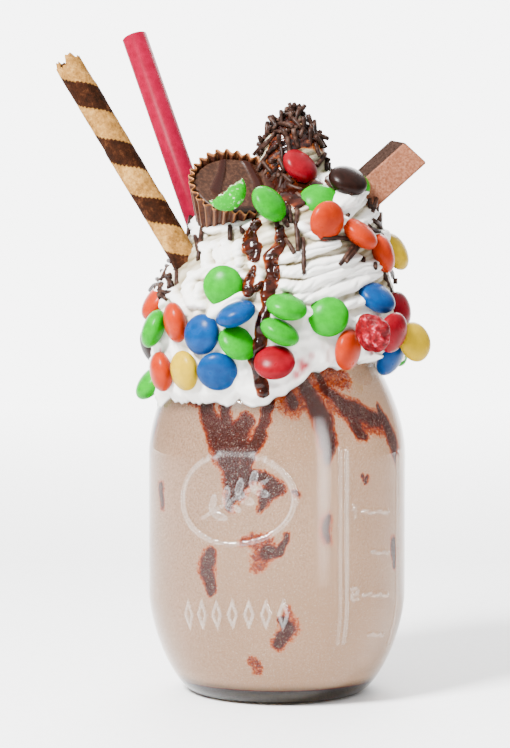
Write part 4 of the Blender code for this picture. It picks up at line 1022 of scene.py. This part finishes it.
def button_grid(seed, rows=22, columns=44):
    """A lens: radius R cos(s), height H sin(s), its edge a touch fuller than an ellipse's,
    with a faint unevenness."""
    rise = np.linspace(-np.pi / 2, np.pi / 2, rows)[:, None]
    turns = full_turn(columns)[None, :]
    radius = BUTTON_R * np.cos(rise) ** 0.92 * np.ones_like(turns)
    height = BUTTON_HALF * np.sin(rise) * np.ones_like(turns)
    grid = np.stack([radius * np.cos(turns), radius * np.sin(turns), height], -1)
    return grid * (1 - 0.02 + 0.02 * speckle(grid + seed * 0.1, 5 * MM, seed)[..., None])


def make_broken():
    """A lens cut across: what lies beyond a rough plane is pushed back onto it. The plane's
    roughness is a random field; the rim of the break is shell, its middle chocolate."""
    x, z, way, lean, depth = -15.9, 158.2, math.radians(150), math.radians(22), -26.4
    middle = sight_point(np.array(x * MM), np.array(z * MM), depth * MM)
    axis = np.array([math.sin(lean) * math.cos(way), -math.cos(lean), math.sin(lean) * math.sin(way)])
    snap = np.array([math.cos(math.radians(125)), 0, math.sin(math.radians(125))])
    grid = button_grid(3, 40, 90) @ axes_for(axis, snap) + middle
    beyond = (grid - middle) @ snap
    rough = 0.55 * MM * speckle(grid, 1.9 * MM, 61) + 0.3 * MM * speckle(grid, 0.8 * MM, 62)
    past = np.maximum(beyond - rough - 0.1 * MM, 0)
    grid = grid - past[..., None] * snap
    piece("broken_sweet", [grid], broken_paint(), ["broken_button_green"],
          {"inside": eased(past, 0.02 * MM, 0.1 * MM) + eased(past, 0.7 * MM, 0.95 * MM)})


# The shells' colours, each as its main colour and the darker one of its mottle
SHELLS = {
    "green": ("#008A00", "#007800"), "red": ("#740012", "#64000C"), "orange": ("#9A2600", "#8E2000"),
    "yellow": ("#B09000", "#A08200"), "blue": ("#00366C", "#002C5C"), "brown": ("#1C0C08", "#120704"),
}


def make_buttons():
    """A lens for each solid button, slid so that it stays in the solids' box."""
    paints = {name: shell_paint(name, *codes) for name, codes in SHELLS.items()}
    low, high = (np.array(corner) for corner in cad_box)
    for number, name in enumerate(sorted(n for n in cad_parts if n.startswith("button_"))):
        middle, rows = button_frame(name)
        colour = name.split("_")[-1]
        lens = button_grid(number) @ rows
        ends = (lens + middle).reshape(-1, 3)
        middle = middle + np.maximum(low - ends.min(0), 0) + np.minimum(high - ends.max(0), 0)
        if name == "button_24_red":
            grid = button_grid(number, 60, 120)
            dent = 0.75 * MM * speckle(grid, 3.2 * MM, 71) + 0.3 * MM * speckle(grid, 1.3 * MM, 72)
            grid = grid + (dent - 0.3 * MM)[..., None] * unit(grid)
            piece("crushed_sweet", [grid @ rows + middle], crushed_paint(), [name])
            continue
        piece(name.replace("button_", "sweet_"), [lens + middle], paints[colour], [name])


# the straw, the rolled wafer and the cup


def make_straw():
    """A smooth tube: outer wall up, lip, inner wall down, about the straw's axis."""
    turns = full_turn(48)
    bore, lip = 1 - STRAW_WALL / STRAW_R, 0.12 * MM
    outer = np.array([1, 1, 0.97, 0.94, bore, bore, 0.97, 1]) * STRAW_R
    high = np.array([-STRAW_DOWN, STRAW_UP - lip, STRAW_UP, STRAW_UP, STRAW_UP - lip] + 3 * [-STRAW_DOWN])
    grid = round_grid(outer, high, turns) @ axes_for(STRAW_ALONG) + STRAW_AT
    piece("straw_tube", [grid], straw_paint(), ["straw"])


def make_roll():
    """A rolled wafer: a tube with a faint overlap seam, a snapped upper end, and a stripe that
    is a function of height plus turn."""
    turns = full_turn(72)
    heights = np.linspace(-ROLL_LENGTH, 0, 150)
    uneven = 1.5 * MM * (np.sin(2 * turns + 0.6) + 0.5 * np.sin(5 * turns)) + 0.5 * MM * np.sin(13 * turns)
    ends = eased(heights, -6 * MM, 0)[:, None] * uneven[None, :]
    outer_z = heights[:, None] + ends
    seam = 0.25 * MM * ((turns[None, :] / (2 * np.pi) + heights[:, None] / (40 * MM)) % 1)
    outer_r = ROLL_R - 0.52 * MM + seam
    spot = round_grid(outer_r, outer_z, turns[None, :])
    outer_r = outer_r + 0.12 * MM * speckle(spot, 2 * MM, 41)
    inner_r = np.full_like(outer_r, ROLL_R - ROLL_WALL)
    outer = round_grid(outer_r, outer_z, turns[None, :])
    middle_r = (outer_r[-1:] + inner_r[-1:]) / 2
    rim = round_grid(middle_r, outer_z[-1:] - 0.7 * MM, turns[None, :])
    inner = round_grid(inner_r[::-1], outer_z[::-1], turns[None, :])
    grid = np.concatenate([outer, rim, inner, outer[:1]])
    rows = axes_for(ROLL_ALONG, (0, -1, 0))
    phase = (np.concatenate([outer_z, outer_z[-1:], outer_z[::-1], outer_z[:1]]) / (20.7 * MM)
             + turns[None, :] / (2 * np.pi)) % 1
    stripe = 1 - eased(abs(phase - 0.423), 0.22, 0.25)
    piece("rolled_wafer", [grid @ rows + ROLL_TOP], wafer_paint(), ["wafer_roll"],
          {"stripe": stripe})


# Sauce that ran across the cup's top: (x, z, half width) on the plane through the axis
GLAZE = (
    ((-17.0, 173.0, 0.9), (-16.9, 169.0, 1.1), (-17.6, 164.0, 1.4), (-19.4, 158.5, 2.0)),
    ((-12.6, 173.0, 0.9), (-11.6, 169.5, 1.1), (-8.8, 166.0, 1.3), (-6.2, 161.0, 1.6), (-5.4, 157.0, 2.0)),
    ((-5.0, 170.0, 1.6), (-2.5, 165.0, 2.6), (-1.0, 161.0, 3.0)),
)


def make_cup():
    """The pleated case is a cone whose radius waves round it, given thickness; the chocolate
    fills it with a slightly dished top and streaks of sauce."""
    rows = axes_for(CASE_ALONG)
    turns = full_turn(FLUTES * 14)
    share = np.linspace(0, 1, 16)[:, None]
    wave = np.sin(FLUTES * turns)[None, :]
    wave = np.sign(wave) * abs(wave) ** 0.8 * FLUTE_DEPTH * (0.35 + 0.65 * share)
    mean = CASE_FOOT_R + (CASE_RIM_R - CASE_FOOT_R) * share
    curl = 0.5 * MM * eased(share, 0.85, 1.0) * (0.4 + 0.6 * np.sin(3 * turns + 1)[None, :])
    height = -CASE_DEPTH + CASE_DEPTH * share + 0.35 * MM * share * np.sin(5 * turns)[None, :]
    outer = round_grid(mean + wave + curl, height, turns[None, :])
    inner = round_grid((mean + wave + curl - 0.22 * MM)[::-1], height[::-1], turns[None, :])
    foot = round_grid(np.array([0.0]), np.array([-CASE_DEPTH]), turns)
    floor = round_grid(np.array([0.0]), np.array([-CASE_DEPTH + 0.3 * MM]), turns)
    grid = np.concatenate([foot, outer, inner, floor])
    edge = np.concatenate([np.zeros((1, 1)), share, share[::-1], np.zeros((1, 1))])
    fold = eased(np.sin(FLUTES * turns), 0.75, 1.0)[None, :]
    edge = np.clip(eased(edge, 0.965, 1.0) + 0.5 * fold, 0, 1) * np.ones_like(turns)[None, :]
    piece("pleated_case", [grid @ rows + CASE_RIM_AT], paper_paint(), ["paper_case"],
          {"edge": edge})
    wide = CASE_RIM_R - FLUTE_DEPTH - 0.55 * MM
    inward = np.linspace(0.86, 0, 26)
    radii = np.concatenate([[0, 0.78, 0.86, 0.97, 1.0, 1.0, 0.985, 0.95, 0.91], inward]) * wide
    tall = np.concatenate([[-15.4, -15.4, -12.0, -6.0, -3.2, -2.4, -1.9, -1.6, -1.65],
                           -2.2 + 0.45 * (inward / 0.86) ** 2]) * MM
    turns = full_turn(160)
    cup = round_grid(radii, tall, turns) @ rows + CASE_RIM_AT
    x, z = seen_at(cup[..., 0], cup[..., 1], cup[..., 2])
    glaze = np.zeros(x.shape)
    for line in GLAZE:
        for away, half in along_lines(x, z, line):
            glaze = np.maximum(glaze, dome(away / half))
    glaze = glaze * (np.arange(len(radii)) > 6)[:, None]
    cup = cup + (0.55 * MM * glaze)[..., None] * rows[2]
    piece("dark_cup", [cup], cup_paint(), ["chocolate_cup"], {"glaze": glaze})


# the stage


def aimed(thing, place, target):
    thing.location = place
    thing.rotation_euler = (Vector(target) - thing.location).to_track_quat("-Z", "Y").to_euler()


def make_stage():
    """A white tabletop, and the camera where the photograph was taken from."""
    bpy.ops.mesh.primitive_plane_add(size=2.6)
    floor = bpy.context.active_object
    floor.name = "tabletop"
    floor.data.materials.append(floor_paint())
    camera = bpy.data.cameras.new("camera")
    camera.sensor_fit, camera.sensor_height, camera.lens = "VERTICAL", 36, LENS
    view = placed("camera", camera)
    aimed(view, EYE, AIM)
    bpy.context.scene.camera = view


def make_world():
    """A white studio: bright overhead and behind, dimmer where the camera stands."""
    world = bpy.data.worlds.new("studio")
    bpy.context.scene.world = world
    world.use_nodes = True
    tree = world.node_tree
    way = node(tree, "SeparateXYZ", {"Vector": node(tree, "TexCoord").outputs["Generated"]})
    above = node(tree, "MapRange", {"Value": way.outputs["Z"], "From Min": 0.2, "From Max": 0.65},
                 interpolation_type="SMOOTHSTEP")
    behind = node(tree, "MapRange", {"Value": way.outputs["Y"], "From Min": 0.72, "From Max": 0.97},
                  interpolation_type="SMOOTHSTEP")
    above = node(tree, "Math", {0: above, 1: 0.2}, operation="MULTIPLY")
    most = node(tree, "Math", {0: above, 1: behind}, operation="MAXIMUM")
    power = node(tree, "MapRange", {"Value": most, "To Min": 0.55, "To Max": 6.5})
    wire(tree.nodes["Background"], {"Color": (1, 1, 1, 1), "Strength": power})


# Lamps: name, place, width, height and power
LAMPS = (
    ("window", (-0.5, -0.5, 0.8), 0.22, 0.3, 50.0), ("strip", (0.185, -0.228, 0.12), 0.085, 0.25, 3.4),
    ("back", (0.15, 1.1, 0.9), 0.9, 0.5, 20.0),
)


def soften(lamp):
    """A softbox: brightest in its middle, (4u(1 - u))^2 across and 4v(1 - v) up."""
    lamp.use_nodes = True
    tree = lamp.node_tree
    place = node(tree, "SeparateXYZ", {"Vector": node(tree, "NewGeometry").outputs["Parametric"]})
    shares = []
    for side, power in (("X", 2.0), ("Y", 1.0)):
        rest = node(tree, "Math", {0: 1.0, 1: place.outputs[side]}, operation="SUBTRACT")
        both = node(tree, "Math", {0: place.outputs[side], 1: rest}, operation="MULTIPLY")
        both = node(tree, "Math", {0: both, 1: 4.0}, operation="MULTIPLY")
        shares.append(node(tree, "Math", {0: both, 1: power}, operation="POWER"))
    glow = node(tree, "Math", {0: shares[0], 1: shares[1]}, operation="MULTIPLY")
    wire(tree.nodes["Emission"], {"Strength": glow})


def make_lamps():
    for name, place, wide, tall, power in LAMPS:
        lamp = bpy.data.lights.new(name, "AREA")
        lamp.shape, lamp.size, lamp.size_y, lamp.energy = "RECTANGLE", wide, tall, power
        holder = placed(name, lamp)
        aimed(holder, place, (0, 0, 0.11))
        if name == "strip":  # only a reflection in the jar
            lit = bpy.data.collections.new("lit_by_strip")
            lit.objects.link(bpy.data.objects["jar_glass"])
            holder.light_linking.receiver_collection = lit
            soften(lamp)


make_jar()
make_drink()
make_cream()
make_sauce()
make_vermicelli()
make_buttons()
make_broken()
make_straw()
make_roll()
make_cup()
# the wafer finger's plain solid is shown as it is, painted
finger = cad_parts["wafer_finger"].data
finger.materials.clear()
finger.materials.append(milk_chocolate_paint())
make_stage()
make_world()
make_lamps()
